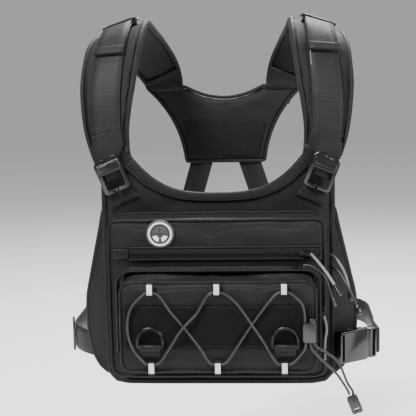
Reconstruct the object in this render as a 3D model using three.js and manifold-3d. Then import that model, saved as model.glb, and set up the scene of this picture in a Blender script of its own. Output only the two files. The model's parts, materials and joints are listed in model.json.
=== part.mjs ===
// Chest rig harness vest: a padded bib with two zipped pouches, two padded shoulder straps,
// a back yoke and a waist belt.  Millimetres, +Z up, the front faces -Y, and left and right
// are as seen from the front.  The origin is the centre of the bib's flat rear face.

import * as THREE from 'three';
import { LoftGeometry } from 'three/addons/geometries/LoftGeometry.js';
import { mergeVertices } from 'three/addons/utils/BufferGeometryUtils.js';
import Module from 'manifold-3d';

const wasm = await Module();
wasm.setup();

// ---- Driving dimensions -----------------------------------------------------------------

const gap = 0.3;              // between pieces that touch

// The body that the vest wraps, as a rounded rectangle seen from above
const chestFlatHalf = 112;
const ribRadius = 85;
const chestDepth = 240;

// Bib
const bibThickness = 8;
const bibHalfWidth = 140;
const bibBottom = -119;
const bibHornTop = 166;
const neckLow = 122;
const neckRise = 44;
const neckHalf = 103;
const bindingWidth = 10;
const wingThickness = 4;
const wingHalfWidth = 172;
const wingTop = 100;
const wingLow = -50;

// Upper pouch
const upperWidth = 270;
const upperTop = 100;
const upperBottom = -101;
const upperDepth = 50;
const pouchCorner = 16;
const pouchRound = 6;

// Front pouch
const frontWidth = 238;
const frontMiddle = 3;        // it hangs this far right of the bib's centre
const frontTop = 31;
const frontBottom = -84;
const frontDepth = 42;
const frontRearRise = 11;     // how much higher the pouch is at the rear

// Zips
const zipWidth = 12;
const zipThickness = 1;
const upperZipHeight = 55;
const sliderLength = 11;
const sliderWidth = 8;
const sliderHeight = 4;
const upperSliderPlace = 106;
const frontSliderPlace = 97;
const sideSliderPlace = -12;

// Earphone port
const portRadius = 17;
const portRim = 6;
const portCentreX = -66;
const portCentreZ = 79;

// Lacing
const shockCord = 3;
const loopSpacing = 78;
const topLoopHeight = 21;
const bottomLoopHeight = -73;
const loopWidth = 8;
const loopHeight = 15;
const loopStand = 6.6;
const hookFieldTop = 1;
const hookFieldHeight = 51;
const hookFieldThickness = 1.2;

// D-rings
const ringWire = 4;
const ringHalfWidth = 17;
const ringHeight = 27;
const ringBarHeight = -50;
const ringSpacing = 79;
const tabWidth = 24;

// Cord lock
const lockWidth = 15;
const lockHeight = 22;
const lockDepth = 10;
const lockX = 110;
const lockZ = -30;
const buttonRadius = 3.2;
const buttonTravel = 4;
const buttonSide = 3;         // right of the lock's middle

// Webbing and belt
const webbing = 38;
const webbingThickness = 2.2;
const belt = 32;
const beltHeight = -75;

// Shoulder straps
const padThickness = 10;
const strapSlope = 18;        // degrees that a strap tips outwards across its width
const strapGap = 0.85;        // webbing lies loosely on the pad
const strapStations = 32;
const flapStart = 11;
const flapEnd = 16;
const glideBar = 4;
const glideLength = 25;
const glideThickness = 3.4;
const glidePlace = 0.565;     // share of the strap's length

// Shoulder buckles
const buckleWidth = 34;
const buckleLength = 44;
const buckleThickness = 7;
const buckleX = 129;
const buckleZ = 146;
const buckleTilt = 22;        // degrees

// Side-release buckle at the waist
const releaseHeight = 40;
const releaseThickness = 12;
const releaseShell = 34;
const releaseWall = 2;
const releaseBar = 10;        // the strip of the shell that holds its webbing
const releaseClear = 3;       // from the pouch's side to the buckle

// Back
const yokeWidth = 226;
const yokeHeight = 108;
const yokeTop = 246;
const yokeY = 210;
const strapEndX = 86;
const strapEndRise = 10.5;

// ---- Materials --------------------------------------------------------------------------

const look = (color, roughness, metalness = 0) =>
  new THREE.MeshStandardMaterial({ color, roughness, metalness });
const nylon = look(0x17181a, 0.85);
const webbingLook = look(0x1d1e21, 0.8);
const meshLook = look(0x202124, 0.95);
const tape = look(0x101113, 0.7);
const blackPlastic = look(0x0d0e10, 0.25);
const greyPlastic = look(0x8d9092, 0.45);
const greyRubber = look(0x6c7072, 0.7);
const darkMetal = look(0x2a2c2f, 0.35, 0.9);
const reflective = look(0xc9ccd0, 0.5);
const cordLook = look(0x121315, 0.75);

// ---- Geometry helpers -------------------------------------------------------------------

const vest = new THREE.Group();
const degrees = THREE.MathUtils.degToRad;
const vec = (x, y, z) => new THREE.Vector3(x, y, z);
const axisX = vec(1, 0, 0);
const axisY = vec(0, 1, 0);
const axisZ = vec(0, 0, 1);

function addPart(name, geometry, material, parent = vest) {
  const mesh = new THREE.Mesh(geometry, material);
  mesh.name = name;
  parent.add(mesh);
  return mesh;
}

function toSolid(geometry) {
  const bare = new THREE.BufferGeometry().copy(geometry);
  bare.deleteAttribute('normal');
  bare.deleteAttribute('uv');
  const merged = mergeVertices(bare, 1e-3);
  return new wasm.Manifold(new wasm.Mesh({
    numProp: 3,
    vertProperties: new Float32Array(merged.attributes.position.array),
    triVerts: new Uint32Array(merged.index.array),
  }));
}

function toGeometry(solid) {
  const mesh = solid.getMesh();
  const geometry = new THREE.BufferGeometry();
  geometry.setAttribute('position', new THREE.BufferAttribute(new Float32Array(mesh.vertProperties), 3));
  geometry.setIndex(Array.from(mesh.triVerts));
  geometry.computeVertexNormals();
  return geometry;
}

function cut(base, ...tools) {
  return toGeometry(tools.reduce((left, tool) => left.subtract(toSolid(tool)), toSolid(base)));
}

function join(base, ...others) {
  return toGeometry(others.reduce((sum, other) => sum.add(toSolid(other)), toSolid(base)));
}

function common(a, b) {
  return toGeometry(toSolid(a).intersect(toSolid(b)));
}

// A box given by its two corners
function block(low, high) {
  const size = high.clone().sub(low);
  const middle = low.clone().add(high).multiplyScalar(0.5);
  return new THREE.BoxGeometry(size.x, size.y, size.z).translate(middle.x, middle.y, middle.z);
}

// A shape drawn in X and Z, made solid from the plane y = rear towards the front
function extrudeForward(shape, rear, depth, curveSegments = 6) {
  const geometry = new THREE.ExtrudeGeometry(shape, { depth, bevelEnabled: false, curveSegments });
  return geometry.rotateX(Math.PI / 2).translate(0, rear, 0);
}

// A shape drawn in Y and Z, made solid along X from the given place
function extrudeAcross(shape, start, width, curveSegments = 6) {
  const geometry = new THREE.ExtrudeGeometry(shape, { depth: width, bevelEnabled: false, curveSegments });
  return geometry.applyMatrix4(new THREE.Matrix4().makeBasis(axisY, axisZ, axisX)).translate(start, 0, 0);
}

function polygon(points) {
  return new THREE.Shape(points.map(([x, y]) => new THREE.Vector2(x, y)));
}

function roundedRectangle(left, bottom, right, top, radius) {
  const shape = new THREE.Shape();
  shape.absarc(right - radius, top - radius, radius, 0, Math.PI / 2);
  shape.absarc(left + radius, top - radius, radius, Math.PI / 2, Math.PI);
  shape.absarc(left + radius, bottom + radius, radius, Math.PI, Math.PI * 1.5);
  shape.absarc(right - radius, bottom + radius, radius, Math.PI * 1.5, Math.PI * 2);
  return shape;
}

function signedVolume(geometry) {
  const { position } = geometry.attributes;
  const corner = (i) => vec().fromBufferAttribute(position, geometry.index.getX(i));
  let sum = 0;
  for (let i = 0; i < geometry.index.count; i += 3) {
    sum += corner(i).dot(corner(i + 1).cross(corner(i + 2)));
  }
  return sum / 6;
}

// A closed loft whose faces point out, whichever way its sections wind
function loft(sections) {
  const caps = { capStart: true, capEnd: true };
  const geometry = new LoftGeometry(sections, caps);
  if (signedVolume(geometry) > 0) return geometry;
  return new LoftGeometry(sections.map((section) => section.slice().reverse()), caps);
}

function range(count) {
  return Array.from({ length: count + 1 }, (_, i) => i / count);
}

// A round cord along a smooth curve through its points
function cordAlong(points, diameter, steps) {
  const curve = new THREE.CatmullRomCurve3(points, false, 'centripetal');
  const section = new THREE.Shape();
  section.absarc(0, 0, diameter / 2, 0, Math.PI * 2);
  return new THREE.ExtrudeGeometry(section, { steps, extrudePath: curve, curveSegments: 4 });
}

// ---- The body's outline -----------------------------------------------------------------

const halfGirth = 2 * chestFlatHalf + Math.PI * ribRadius + chestDepth - 2 * ribRadius;

// The point at a distance along the body from the front centre, standing off it
function onBody(distance, off, height) {
  const along = THREE.MathUtils.euclideanModulo(distance + halfGirth, 2 * halfGirth) - halfGirth;
  const side = Math.sign(along) || 1;
  const quarter = ribRadius * Math.PI / 2;
  const flank = chestDepth - 2 * ribRadius;
  const s = Math.abs(along);
  const reach = ribRadius + off;
  if (s <= chestFlatHalf) return vec(side * s, -off, height);
  if (s <= chestFlatHalf + quarter) {
    const turn = (s - chestFlatHalf) / ribRadius;
    return vec(side * (chestFlatHalf + reach * Math.sin(turn)), ribRadius - reach * Math.cos(turn), height);
  }
  if (s <= chestFlatHalf + quarter + flank) {
    return vec(side * (chestFlatHalf + reach), ribRadius + s - chestFlatHalf - quarter, height);
  }
  if (s <= chestFlatHalf + 2 * quarter + flank) {
    const turn = (s - chestFlatHalf - quarter - flank) / ribRadius;
    const y = chestDepth - ribRadius + reach * Math.sin(turn);
    return vec(side * (chestFlatHalf + reach * Math.cos(turn)), y, height);
  }
  return vec(side * (2 * chestFlatHalf + 2 * quarter + flank - s), chestDepth + off, height);
}

// How far along the body a point of the front lies, from its X
function alongAt(x) {
  return chestFlatHalf + ribRadius * Math.asin((Math.abs(x) - chestFlatHalf) / ribRadius);
}

// A band that follows the body between two places, a height and two stand-offs
function bodyBand(from, to, inner, outer, low, high, steps) {
  return loft(range(steps).map((t) => {
    const s = from + (to - from) * t;
    return [onBody(s, inner, low), onBody(s, outer, low), onBody(s, outer, high), onBody(s, inner, high)];
  }));
}

// ---- Bib --------------------------------------------------------------------------------

const neckline = (x, inset) => neckLow - inset + neckRise * (Math.abs(x) / (neckHalf + inset)) ** 3;

function bibOutline(halfWidth, inset) {
  const shape = new THREE.Shape();
  const neckEdge = neckHalf + inset;
  shape.moveTo(-halfWidth, bibHornTop);
  shape.lineTo(-halfWidth, bibBottom + 24);
  shape.quadraticCurveTo(-halfWidth, bibBottom, -halfWidth + 24, bibBottom);
  shape.lineTo(halfWidth - 24, bibBottom);
  shape.quadraticCurveTo(halfWidth, bibBottom, halfWidth, bibBottom + 24);
  shape.lineTo(halfWidth, bibHornTop);
  const steps = 20;
  for (let i = 0; i <= steps; i += 1) {
    const x = neckEdge * (1 - 2 * i / steps);
    shape.lineTo(x, Math.min(neckline(x, inset), bibHornTop));
  }
  return shape;
}

// The sheet that the bib is cut from: flat across the chest, then round to each side
function bibSheet(halfAlong, inner, outer) {
  const left = [1, 0.95, 0.9, 0.86].map((share) => -share * halfAlong);
  const right = left.map((s) => -s).reverse();
  return loft([...left, -chestFlatHalf, chestFlatHalf, ...right].map((s) => [
    onBody(s, inner, bibBottom - 10), onBody(s, outer, bibBottom - 10),
    onBody(s, outer, bibHornTop + 10), onBody(s, inner, bibHornTop + 10),
  ]));
}

function chestPanel() {
  const sheet = bibSheet(alongAt(bibHalfWidth), 0, bibThickness);
  const outline = extrudeForward(bibOutline(bibHalfWidth + 3, bindingWidth), 40, 80);
  return common(sheet, outline);
}

function necklineBinding() {
  const steps = 24;
  const at = (t, inset) => {
    const x = (neckHalf + inset) * (2 * t - 1) * 0.985;
    return [x, neckline(x, inset)];
  };
  const outer = range(steps).map((t) => at(t, bindingWidth - gap));
  const inner = range(steps).map((t) => at(t, 0)).reverse();
  return extrudeForward(polygon([...outer, ...inner]), 0, bibThickness + 1);
}

function wing(side) {
  const inner = side * (alongAt(bibHalfWidth) + gap);
  const outer = side * (alongAt(wingHalfWidth) + 2);
  const sheet = bodyBand(inner, outer, 0, wingThickness, bibBottom, wingTop + 10, 8);
  const shape = new THREE.Shape();
  shape.moveTo(side * (bibHalfWidth - 5), wingTop + 8);
  shape.lineTo(side * (bibHalfWidth + 4), wingTop + 4);
  shape.lineTo(side * wingHalfWidth, wingLow + 36);
  shape.quadraticCurveTo(side * (wingHalfWidth + 1), wingLow - 10, side * (wingHalfWidth - 8), wingLow - 40);
  shape.quadraticCurveTo(side * (wingHalfWidth - 13), wingLow - 58, side * (bibHalfWidth + 4), bibBottom + 10);
  shape.lineTo(side * (bibHalfWidth - 5), bibBottom + 8);
  return common(sheet, extrudeForward(shape, 80, 100));
}

addPart('chest_panel', chestPanel(), nylon);
addPart('neckline_binding', necklineBinding(), webbingLook);
for (const side of [-1, 1]) {
  addPart(side < 0 ? 'side_wing_left' : 'side_wing_right', wing(side), nylon);
}

// ---- Pouches ----------------------------------------------------------------------------

// One ring of a pouch: a rounded rectangle at the depth y
function pouchRing(left, bottom, right, top, y, inset) {
  const radius = pouchCorner - inset / 2;
  const shape = roundedRectangle(left + inset, bottom + inset, right - inset, top - inset, radius);
  return shape.extractPoints(4).shape.slice(0, -1).map((p) => vec(p.x, y, p.y));
}

// The rings' places near the front edge, where the pouch rounds over
function roundOver(front) {
  return [0, 30, 60, 90].map((angle) => ({
    y: front + pouchRound * (1 - Math.sin(degrees(angle))),
    inset: pouchRound * (1 - Math.cos(degrees(angle))),
  }));
}

const upperRear = -(bibThickness + gap);
const upperFace = -(bibThickness + upperDepth);
const frontRear = upperFace - gap;
const frontFace = frontRear - frontDepth;
const frontLeft = frontMiddle - frontWidth / 2;
const frontRight = frontMiddle + frontWidth / 2;

function upperPouch() {
  const ring = (y, inset) => pouchRing(-upperWidth / 2, upperBottom, upperWidth / 2, upperTop, y, inset);
  return loft([ring(upperRear, 0), ...roundOver(upperFace).map(({ y, inset }) => ring(y, inset))]);
}

// The front pouch is higher at the rear, so its top slopes down to the front
const frontTopAt = (y) => frontTop + frontRearRise * (y - frontFace) / frontDepth;

function frontRing(y, inset) {
  return pouchRing(frontLeft, frontBottom, frontRight, frontTopAt(y), y, inset);
}

function frontPouch() {
  return loft([frontRing(frontRear, 0), ...roundOver(frontFace).map(({ y, inset }) => frontRing(y, inset))]);
}

addPart('upper_pouch', upperPouch(), nylon);
addPart('front_pouch', frontPouch(), nylon);

// ---- Upper zip --------------------------------------------------------------------------

const upperZipLeft = -upperWidth / 2 + 30;
const upperZipRight = upperWidth / 2 - 8;
const upperZipFace = upperFace - gap;

addPart('upper_zip_tape', block(
  vec(upperZipLeft + gap, upperZipFace - zipThickness, upperZipHeight - zipWidth / 2),
  vec(upperZipRight, upperZipFace, upperZipHeight + zipWidth / 2),
), tape);

addPart('upper_zip_end_tab', block(
  vec(upperZipLeft - 18, upperZipFace - 2, upperZipHeight - zipWidth / 2),
  vec(upperZipLeft, upperZipFace, upperZipHeight + zipWidth / 2),
), webbingLook);

// A zip slider: a low wedge body with a bridge over it, drawn at the origin on the plane y = 0
function zipSlider() {
  const half = sliderLength / 2;
  const body = polygon([
    [-half, -sliderWidth / 2 + 1.5], [half, -sliderWidth / 2],
    [half, sliderWidth / 2], [-half, sliderWidth / 2 - 1.5],
  ]);
  const plate = extrudeForward(body, 0, sliderHeight - 1.5);
  const bridge = block(vec(-half + 2, -sliderHeight - 1.6, -1.3), vec(half - 2, -sliderHeight + 2, 1.3));
  const eye = block(vec(-half + 3.5, -sliderHeight, -2), vec(half - 3.5, -sliderHeight + 1.5, 2));
  return cut(join(plate, bridge), eye);
}

const upperSlider = addPart('upper_zip_slider', zipSlider(), darkMetal);
upperSlider.position.set(upperSliderPlace, upperZipFace - zipThickness - gap, upperZipHeight);

// ---- Earphone port ----------------------------------------------------------------------

function turned(profile, y, x, z) {
  const points = profile.map(([r, h]) => new THREE.Vector2(r, h));
  return new THREE.LatheGeometry(points, 28).rotateX(Math.PI).translate(x, y, z);
}

const portFace = upperFace - gap;
addPart('earphone_port_ring', turned([
  [portRadius - portRim, 0], [portRadius, 0], [portRadius, 1.6], [portRadius - 2, 2.6],
  [portRadius - portRim, 2.6], [portRadius - portRim, 0],
], portFace, portCentreX, portCentreZ), greyRubber);

function portFlap() {
  const radius = portRadius - portRim - gap;
  const profile = [[0, 0], [radius, 0], [radius, 1.8], [0, 1.8]];
  const disc = turned(profile, portFace, portCentreX, portCentreZ);
  const slit = 9;
  const slot = (w, h) => block(
    vec(portCentreX - w / 2, portFace - 3, portCentreZ - h / 2),
    vec(portCentreX + w / 2, portFace - 0.8, portCentreZ + h / 2),
  );
  return cut(disc, slot(slit * 1.7, 1.2), slot(1.2, slit * 1.7));
}

addPart('earphone_port_flap', portFlap(), greyPlastic);

// ---- Front zip --------------------------------------------------------------------------

const frontZipRear = frontRear - 11;
const frontZipFront = frontZipRear - zipWidth;

// A band on the front pouch's edge from low on its left side, over the top, down its right side
function frontZipBand(inner, outer, rear, front, endHeight) {
  const ringAt = (y, off) => pouchRing(
    frontLeft - off, frontBottom - off, frontRight + off, frontTopAt(y) + off, y, 0,
  ).filter((p) => p.z > 0);
  const rows = [ringAt(rear, inner), ringAt(rear, outer), ringAt(front, outer), ringAt(front, inner)];
  const sections = rows[0].map((_, i) => rows.map((row) => row[i].clone()));
  const dropped = (section) => section.map((p) => vec(p.x, p.y, endHeight));
  return loft([dropped(sections[0]), ...sections, dropped(sections[sections.length - 1])]);
}

addPart('front_zip_tape', frontZipBand(gap, gap + 1.2, frontZipRear, frontZipFront, -60), tape);

const topSlope = Math.atan2(frontRearRise, frontDepth);
const frontZipMiddle = (frontZipRear + frontZipFront) / 2;

function topSlider() {
  const seat = new THREE.Group();
  seat.position.set(frontSliderPlace, frontZipMiddle, frontTopAt(frontZipMiddle) + 2 * gap + 1.5);
  seat.rotation.x = -Math.PI / 2 + topSlope;
  vest.add(seat);
  addPart('front_zip_slider_top', zipSlider(), darkMetal, seat);
}

function sideSlider() {
  const seat = new THREE.Group();
  seat.position.set(frontRight + 2 * gap + 1.2, frontZipMiddle, sideSliderPlace);
  const basis = new THREE.Matrix4().makeBasis(axisZ.clone().negate(), axisX.clone().negate(), axisY);
  seat.setRotationFromMatrix(basis);
  vest.add(seat);
  addPart('front_zip_slider_side', zipSlider(), darkMetal, seat);
}

topSlider();
sideSlider();

// ---- Front of the front pouch -----------------------------------------------------------

const lacingFace = frontFace - gap;
const hookFieldHalf = frontWidth / 2 - 3;

const hookFieldFace = lacingFace - hookFieldThickness;

addPart('hook_field', block(
  vec(frontMiddle - hookFieldHalf + pouchRound, hookFieldFace, hookFieldTop - hookFieldHeight),
  vec(frontMiddle + hookFieldHalf - pouchRound, lacingFace, hookFieldTop),
), meshLook);

// A folded webbing loop with an eye that the cord runs through sideways
function cordLoop(middle, height, eyeHeight) {
  const rear = lacingFace;
  const front = rear - loopStand;
  const low = height - loopHeight / 2;
  const high = height + loopHeight / 2;
  const fold = 1.5;
  const outline = polygon([
    [rear, low], [front + fold, low], [front, low + fold],
    [front, high - fold], [front + fold, high], [rear, high],
  ]);
  const body = extrudeAcross(outline, middle - loopWidth / 2, loopWidth);
  const eye = block(
    vec(middle - loopWidth, front + 1, eyeHeight - 2.4),
    vec(middle + loopWidth, rear - 1, eyeHeight + 2.4),
  );
  return cut(body, eye);
}

const loopPlaces = [-loopSpacing, 0, loopSpacing].map((x) => frontMiddle + x);
const topEye = topLoopHeight - 4;
const bottomEye = bottomLoopHeight + 4;
loopPlaces.forEach((x, i) => {
  addPart(`cord_loop_top_${i + 1}`, cordLoop(x, topLoopHeight, topEye), reflective);
  addPart(`cord_loop_bottom_${i + 1}`, cordLoop(x, bottomLoopHeight, bottomEye), reflective);
});

// A D-ring standing on its straight bar, with a tab of webbing folded round the bar
function dRing(middle) {
  const shape = new THREE.Shape();
  const bow = ringHalfWidth;
  const straight = ringHeight - bow;
  shape.moveTo(-ringHalfWidth, 0);
  shape.lineTo(ringHalfWidth, 0);
  shape.lineTo(ringHalfWidth, straight);
  shape.absarc(0, straight, bow, 0, Math.PI);
  const hole = new THREE.Path();
  const inside = ringHalfWidth - ringWire;
  hole.moveTo(-inside, ringWire);
  hole.lineTo(-inside, straight);
  hole.absarc(0, straight, inside, Math.PI, 0, true);
  hole.lineTo(inside, ringWire);
  shape.holes.push(hole);
  const chamfer = ringWire * 0.29;
  const geometry = new THREE.ExtrudeGeometry(shape, {
    depth: ringWire - 2 * chamfer, bevelThickness: chamfer, bevelSize: chamfer, bevelOffset: -chamfer,
    bevelSegments: 1, curveSegments: 10,
  });
  return geometry.rotateX(Math.PI / 2).translate(middle, ringWire / 2 - chamfer, 0);
}

const tabFace = hookFieldFace - gap;
const tabThickness = 1.5;
const ringCentreY = tabFace - tabThickness - gap - ringWire / 2;

function ringTab(middle) {
  const rear = tabFace;
  const front = ringCentreY - ringWire / 2 - gap - tabThickness;
  const low = ringBarHeight - 9;
  const high = ringBarHeight + ringWire + gap + tabThickness;
  const outline = polygon([[rear, low], [front + 2, low], [front, low + 2], [front, high], [rear, high]]);
  const body = extrudeAcross(outline, middle - tabWidth / 2, tabWidth);
  const channel = block(
    vec(middle - tabWidth, ringCentreY - ringWire / 2 - gap, ringBarHeight - gap),
    vec(middle + tabWidth, ringCentreY + ringWire / 2 + gap, ringBarHeight + ringWire + gap),
  );
  const swing = block(
    vec(middle - tabWidth, front - 1, ringBarHeight + ringWire / 2),
    vec(middle + tabWidth, ringCentreY + ringWire / 2 + gap, high + 1),
  );
  return cut(body, channel, swing);
}

for (const side of [-1, 1]) {
  const middle = frontMiddle + side * ringSpacing;
  const end = side < 0 ? 'left' : 'right';
  const ring = addPart(`d_ring_${end}`, dRing(middle), darkMetal);
  ring.position.set(0, ringCentreY, ringBarHeight);
  addPart(`d_ring_tab_${end}`, ringTab(middle), webbingLook);
}

// ---- Shock cord and its lock ------------------------------------------------------------

const laceY = lacingFace - loopStand / 2;
const lockRear = hookFieldFace - gap;
const lockMiddleY = lockRear - lockDepth / 2;
const lockLow = lockZ - lockHeight / 2;
const lockHigh = lockZ + lockHeight / 2;

// The lace: from the cord lock through the bottom and top loops in turn and back to the lock
const [leftLoop, middleLoop, rightLoop] = loopPlaces;
const laceRoute = [
  vec(lockX - 4.5, lockMiddleY, lockLow - gap), vec(lockX - 4.5, lockMiddleY, lockLow - 3),
  vec(lockX - 6, laceY - 1, bottomEye + 18),
  vec(rightLoop + 9, laceY, bottomEye + 1.5), vec(rightLoop + 4, laceY, bottomEye),
  vec(rightLoop - 4, laceY, bottomEye), vec(rightLoop - 9, laceY, bottomEye + 2),
  vec(rightLoop - 24, laceY - 1, -42), vec(rightLoop - 38, laceY - 3.6, -20), vec(rightLoop - 55, laceY - 1, 4),
  vec(middleLoop + 10, laceY, topEye - 2), vec(middleLoop + 4, laceY, topEye),
  vec(middleLoop - 4, laceY, topEye), vec(middleLoop - 10, laceY, topEye - 3),
  vec(middleLoop - 24, laceY - 1, -8), vec(middleLoop - 42, laceY - 3.6, -27),
  vec(middleLoop - 57.5, laceY - 1, -51),
  vec(leftLoop + 9, laceY, bottomEye + 2), vec(leftLoop + 4, laceY, bottomEye),
  vec(leftLoop - 4, laceY, bottomEye), vec(leftLoop - 10, laceY - 0.5, bottomEye + 4),
  vec(leftLoop - 22, laceY - 1.5, -48), vec(leftLoop - 27, laceY - 1.5, -26), vec(leftLoop - 23, laceY - 1, -2),
  vec(leftLoop - 10, laceY, topEye - 4), vec(leftLoop - 4, laceY, topEye),
  vec(leftLoop + 4, laceY, topEye), vec(leftLoop + 10, laceY, topEye - 3),
  vec(leftLoop + 24, laceY - 0.5, -6), vec(leftLoop + 40, laceY + 0.4, -26),
  vec(leftLoop + 58, laceY - 0.5, -50),
  vec(middleLoop - 9, laceY, bottomEye + 2), vec(middleLoop - 4, laceY, bottomEye),
  vec(middleLoop + 4, laceY, bottomEye), vec(middleLoop + 9, laceY, bottomEye + 2),
  vec(middleLoop + 24, laceY - 0.5, -46), vec(middleLoop + 40, laceY + 0.4, -22),
  vec(middleLoop + 56, laceY - 0.5, 0),
  vec(rightLoop - 10, laceY, topEye - 3), vec(rightLoop - 4, laceY, topEye),
  vec(rightLoop + 4, laceY, topEye), vec(rightLoop + 10, laceY - 0.5, topEye - 3),
  vec(lockX - 8, laceY - 1, 2), vec(lockX - 5, lockMiddleY, lockHigh + 4),
  vec(lockX - 5, lockMiddleY, lockHigh + gap),
];
addPart('shock_cord', cordAlong(laceRoute, shockCord, 150), cordLook);

// A solid of revolution about +Z
function turnedUp(profile, segments) {
  const points = profile.map(([r, h]) => new THREE.Vector2(r, h));
  return new THREE.LatheGeometry(points, segments).rotateX(Math.PI / 2);
}

function lockBore() {
  return turnedUp([[0, -9.5], [buttonRadius + gap, -9.5], [buttonRadius + gap, 1], [0, 1]], 16)
    .translate(lockX + buttonSide, lockMiddleY, lockHigh);
}

function cordLockBody() {
  const outline = roundedRectangle(lockX - lockWidth / 2, lockLow, lockX + lockWidth / 2, lockHigh, 3);
  return cut(extrudeForward(outline, lockRear, lockDepth), lockBore());
}

function cordLockButton() {
  return turnedUp([[0, -5], [buttonRadius, -5], [buttonRadius, buttonTravel + 1], [0, buttonTravel + 1]], 16)
    .translate(lockX + buttonSide, lockMiddleY, lockHigh);
}

addPart('cord_lock_body', cordLockBody(), greyPlastic);
addPart('cord_lock_button', cordLockButton(), greyPlastic);

// ---- Cords that hang free ---------------------------------------------------------------

// The lace's two tails leave the lock's lower edge and hang to the end clamp
const tailY = lockMiddleY;
const clampTop = vec(158, tailY + 10, -108);
const clampLean = 22;         // degrees that the clamp leans from upright
const clampWidth = 13;
const clampHeight = 21;
const clampThickness = 7;
const tailGap = 4;

const tailRoutes = [
  [
    vec(lockX + 0.5, tailY, lockLow - gap), vec(lockX + 2, tailY, lockLow - 7),
    vec(121, tailY + 2, -60), vec(133, tailY + 4, -72), vec(142, tailY + 6, -82), vec(149, tailY + 8, -93),
    vec(clampTop.x - tailGap / 2 - 1.3, clampTop.y, clampTop.z + 4.5),
    vec(clampTop.x - tailGap / 2, clampTop.y, clampTop.z + 0.6),
  ],
  [
    vec(lockX + 4.8, tailY, lockLow - gap), vec(lockX + 7, tailY, lockLow - 5),
    vec(130, tailY + 3, -55), vec(143, tailY + 5, -66), vec(149, tailY + 6, -80), vec(154, tailY + 8, -93),
    vec(clampTop.x + tailGap / 2 + 0.2, clampTop.y, clampTop.z + 4),
    vec(clampTop.x + tailGap / 2 + 0.2, clampTop.y, clampTop.z + 0.3),
  ],
];
tailRoutes.forEach((route, i) => addPart(`cord_tail_${i + 1}`, cordAlong(route, shockCord, 26), cordLook));

function cordClamp() {
  const outline = roundedRectangle(-clampWidth / 2, -clampHeight, clampWidth / 2, 0, 2.5);
  const body = extrudeForward(outline, clampThickness / 2, clampThickness, 3);
  const windowHalf = clampWidth / 2 - 3;
  const window = block(vec(-windowHalf, -10, -clampHeight + 3), vec(windowHalf, 10, -clampHeight + 6));
  return cut(body, window);
}

const clamp = addPart('cord_end_clamp', cordClamp(), greyPlastic);
clamp.position.set(clampTop.x + 0.5, clampTop.y, clampTop.z - 1.2);
clamp.rotation.y = -degrees(clampLean);

// The zip pulls: a loop of cord in a sleeve, ending in a moulded grip
const pullSleeve = 3.6;
const pullCord = 2.4;

const pulls = [
  {
    name: 'upper_zip_pull', diameter: pullSleeve, steps: 12, grip: 15,
    route: [
      vec(upperSliderPlace + 7, upperZipFace - 3.4, upperZipHeight - 1),
      vec(upperSliderPlace + 12, upperZipFace - 6, upperZipHeight - 6),
      vec(126, upperFace - 20, 41), vec(133, upperFace - 31, 33), vec(139, upperFace - 39, 24),
    ],
  },
  {
    name: 'front_zip_top_pull', diameter: pullCord, steps: 12, grip: 11,
    route: [
      vec(frontSliderPlace + 6.5, frontZipMiddle - 0.7, 43),
      vec(frontSliderPlace + 14, frontZipMiddle - 1.7, 43),
      vec(119, frontZipMiddle - 3.7, 39), vec(128, frontZipMiddle - 5.7, 31),
      vec(133, frontZipMiddle - 6.7, 20), vec(137, frontZipMiddle - 7.7, 6),
    ],
  },
  {
    name: 'front_zip_side_pull', diameter: pullSleeve, steps: 12, grip: 13,
    route: [
      vec(frontRight + 5.4, frontZipMiddle, sideSliderPlace - sliderLength / 2 - 2 * gap),
      vec(frontRight + 7, frontZipMiddle - 0.7, sideSliderPlace - 12),
      vec(frontRight + 8.4, frontZipMiddle - 2.7, -34), vec(frontRight + 6.6, frontZipMiddle - 4.7, -46),
      vec(frontRight + 6, frontZipMiddle - 6.7, -56),
    ],
  },
];

// A grip that carries on from a cord's end in the cord's own direction
function pullGrip(route, length, diameter) {
  const end = route[route.length - 1];
  const direction = end.clone().sub(route[route.length - 2]).normalize();
  const grip = new THREE.CylinderGeometry(diameter * 0.62, diameter * 0.8, length, 10);
  grip.translate(0, -length / 2 - gap, 0);
  const turn = new THREE.Quaternion().setFromUnitVectors(axisY.clone().negate(), direction);
  return grip.applyQuaternion(turn).translate(end.x, end.y, end.z);
}

for (const pull of pulls) {
  addPart(`${pull.name}_cord`, cordAlong(pull.route, pull.diameter, pull.steps), greyRubber);
  addPart(`${pull.name}_grip`, pullGrip(pull.route, pull.grip, pullSleeve), blackPlastic);
}

// ---- Shoulder straps --------------------------------------------------------------------

// The underside of a strap, from the front of the chest over the shoulder to its rear end
const strapRoute = [
  vec(130, 0.4, bibHornTop + 5 * gap), vec(135, 3, 200), vec(135, 12, 240), vec(131, 32, 280),
  vec(127, 62, 307), vec(124, 97, 317), vec(118, 134, 309), vec(107, 173, 294), vec(93, 201, 271),
  vec(strapEndX, yokeY, yokeTop + strapEndRise),
];
const padHalfWidths = [22, 27, 33, 36, 36, 35, 32, 29, 26];

const strapCurve = new THREE.CatmullRomCurve3(strapRoute, false, 'centripetal');

// Where the right strap lies at a place of its route: its point, and its ways across and out
function strapFrame(t) {
  const along = strapCurve.getTangent(t);
  const slope = degrees(strapSlope);
  const level = vec(Math.cos(slope), 0, -Math.sin(slope));
  const across = level.sub(along.clone().multiplyScalar(level.dot(along))).normalize();
  const up = across.clone().cross(along).normalize();
  return { point: strapCurve.getPoint(t), across, up };
}

// A strap between two stations of the route, standing off its underside
function shoulderStrap(from, to, halfWidthAt, inner, outer) {
  const sections = [];
  for (let station = from; station <= to; station += 1) {
    const t = station / strapStations;
    const { point, across, up } = strapFrame(t);
    const half = halfWidthAt(t);
    const corner = (a, n) => point.clone().addScaledVector(across, a).addScaledVector(up, n);
    const seat = webbing / 2 - gap;
    sections.push([corner(-half, inner), corner(half, inner), corner(half, outer),
      corner(seat, outer), corner(-seat, outer), corner(-half, outer)]);
  }
  return loft(sections);
}

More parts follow.
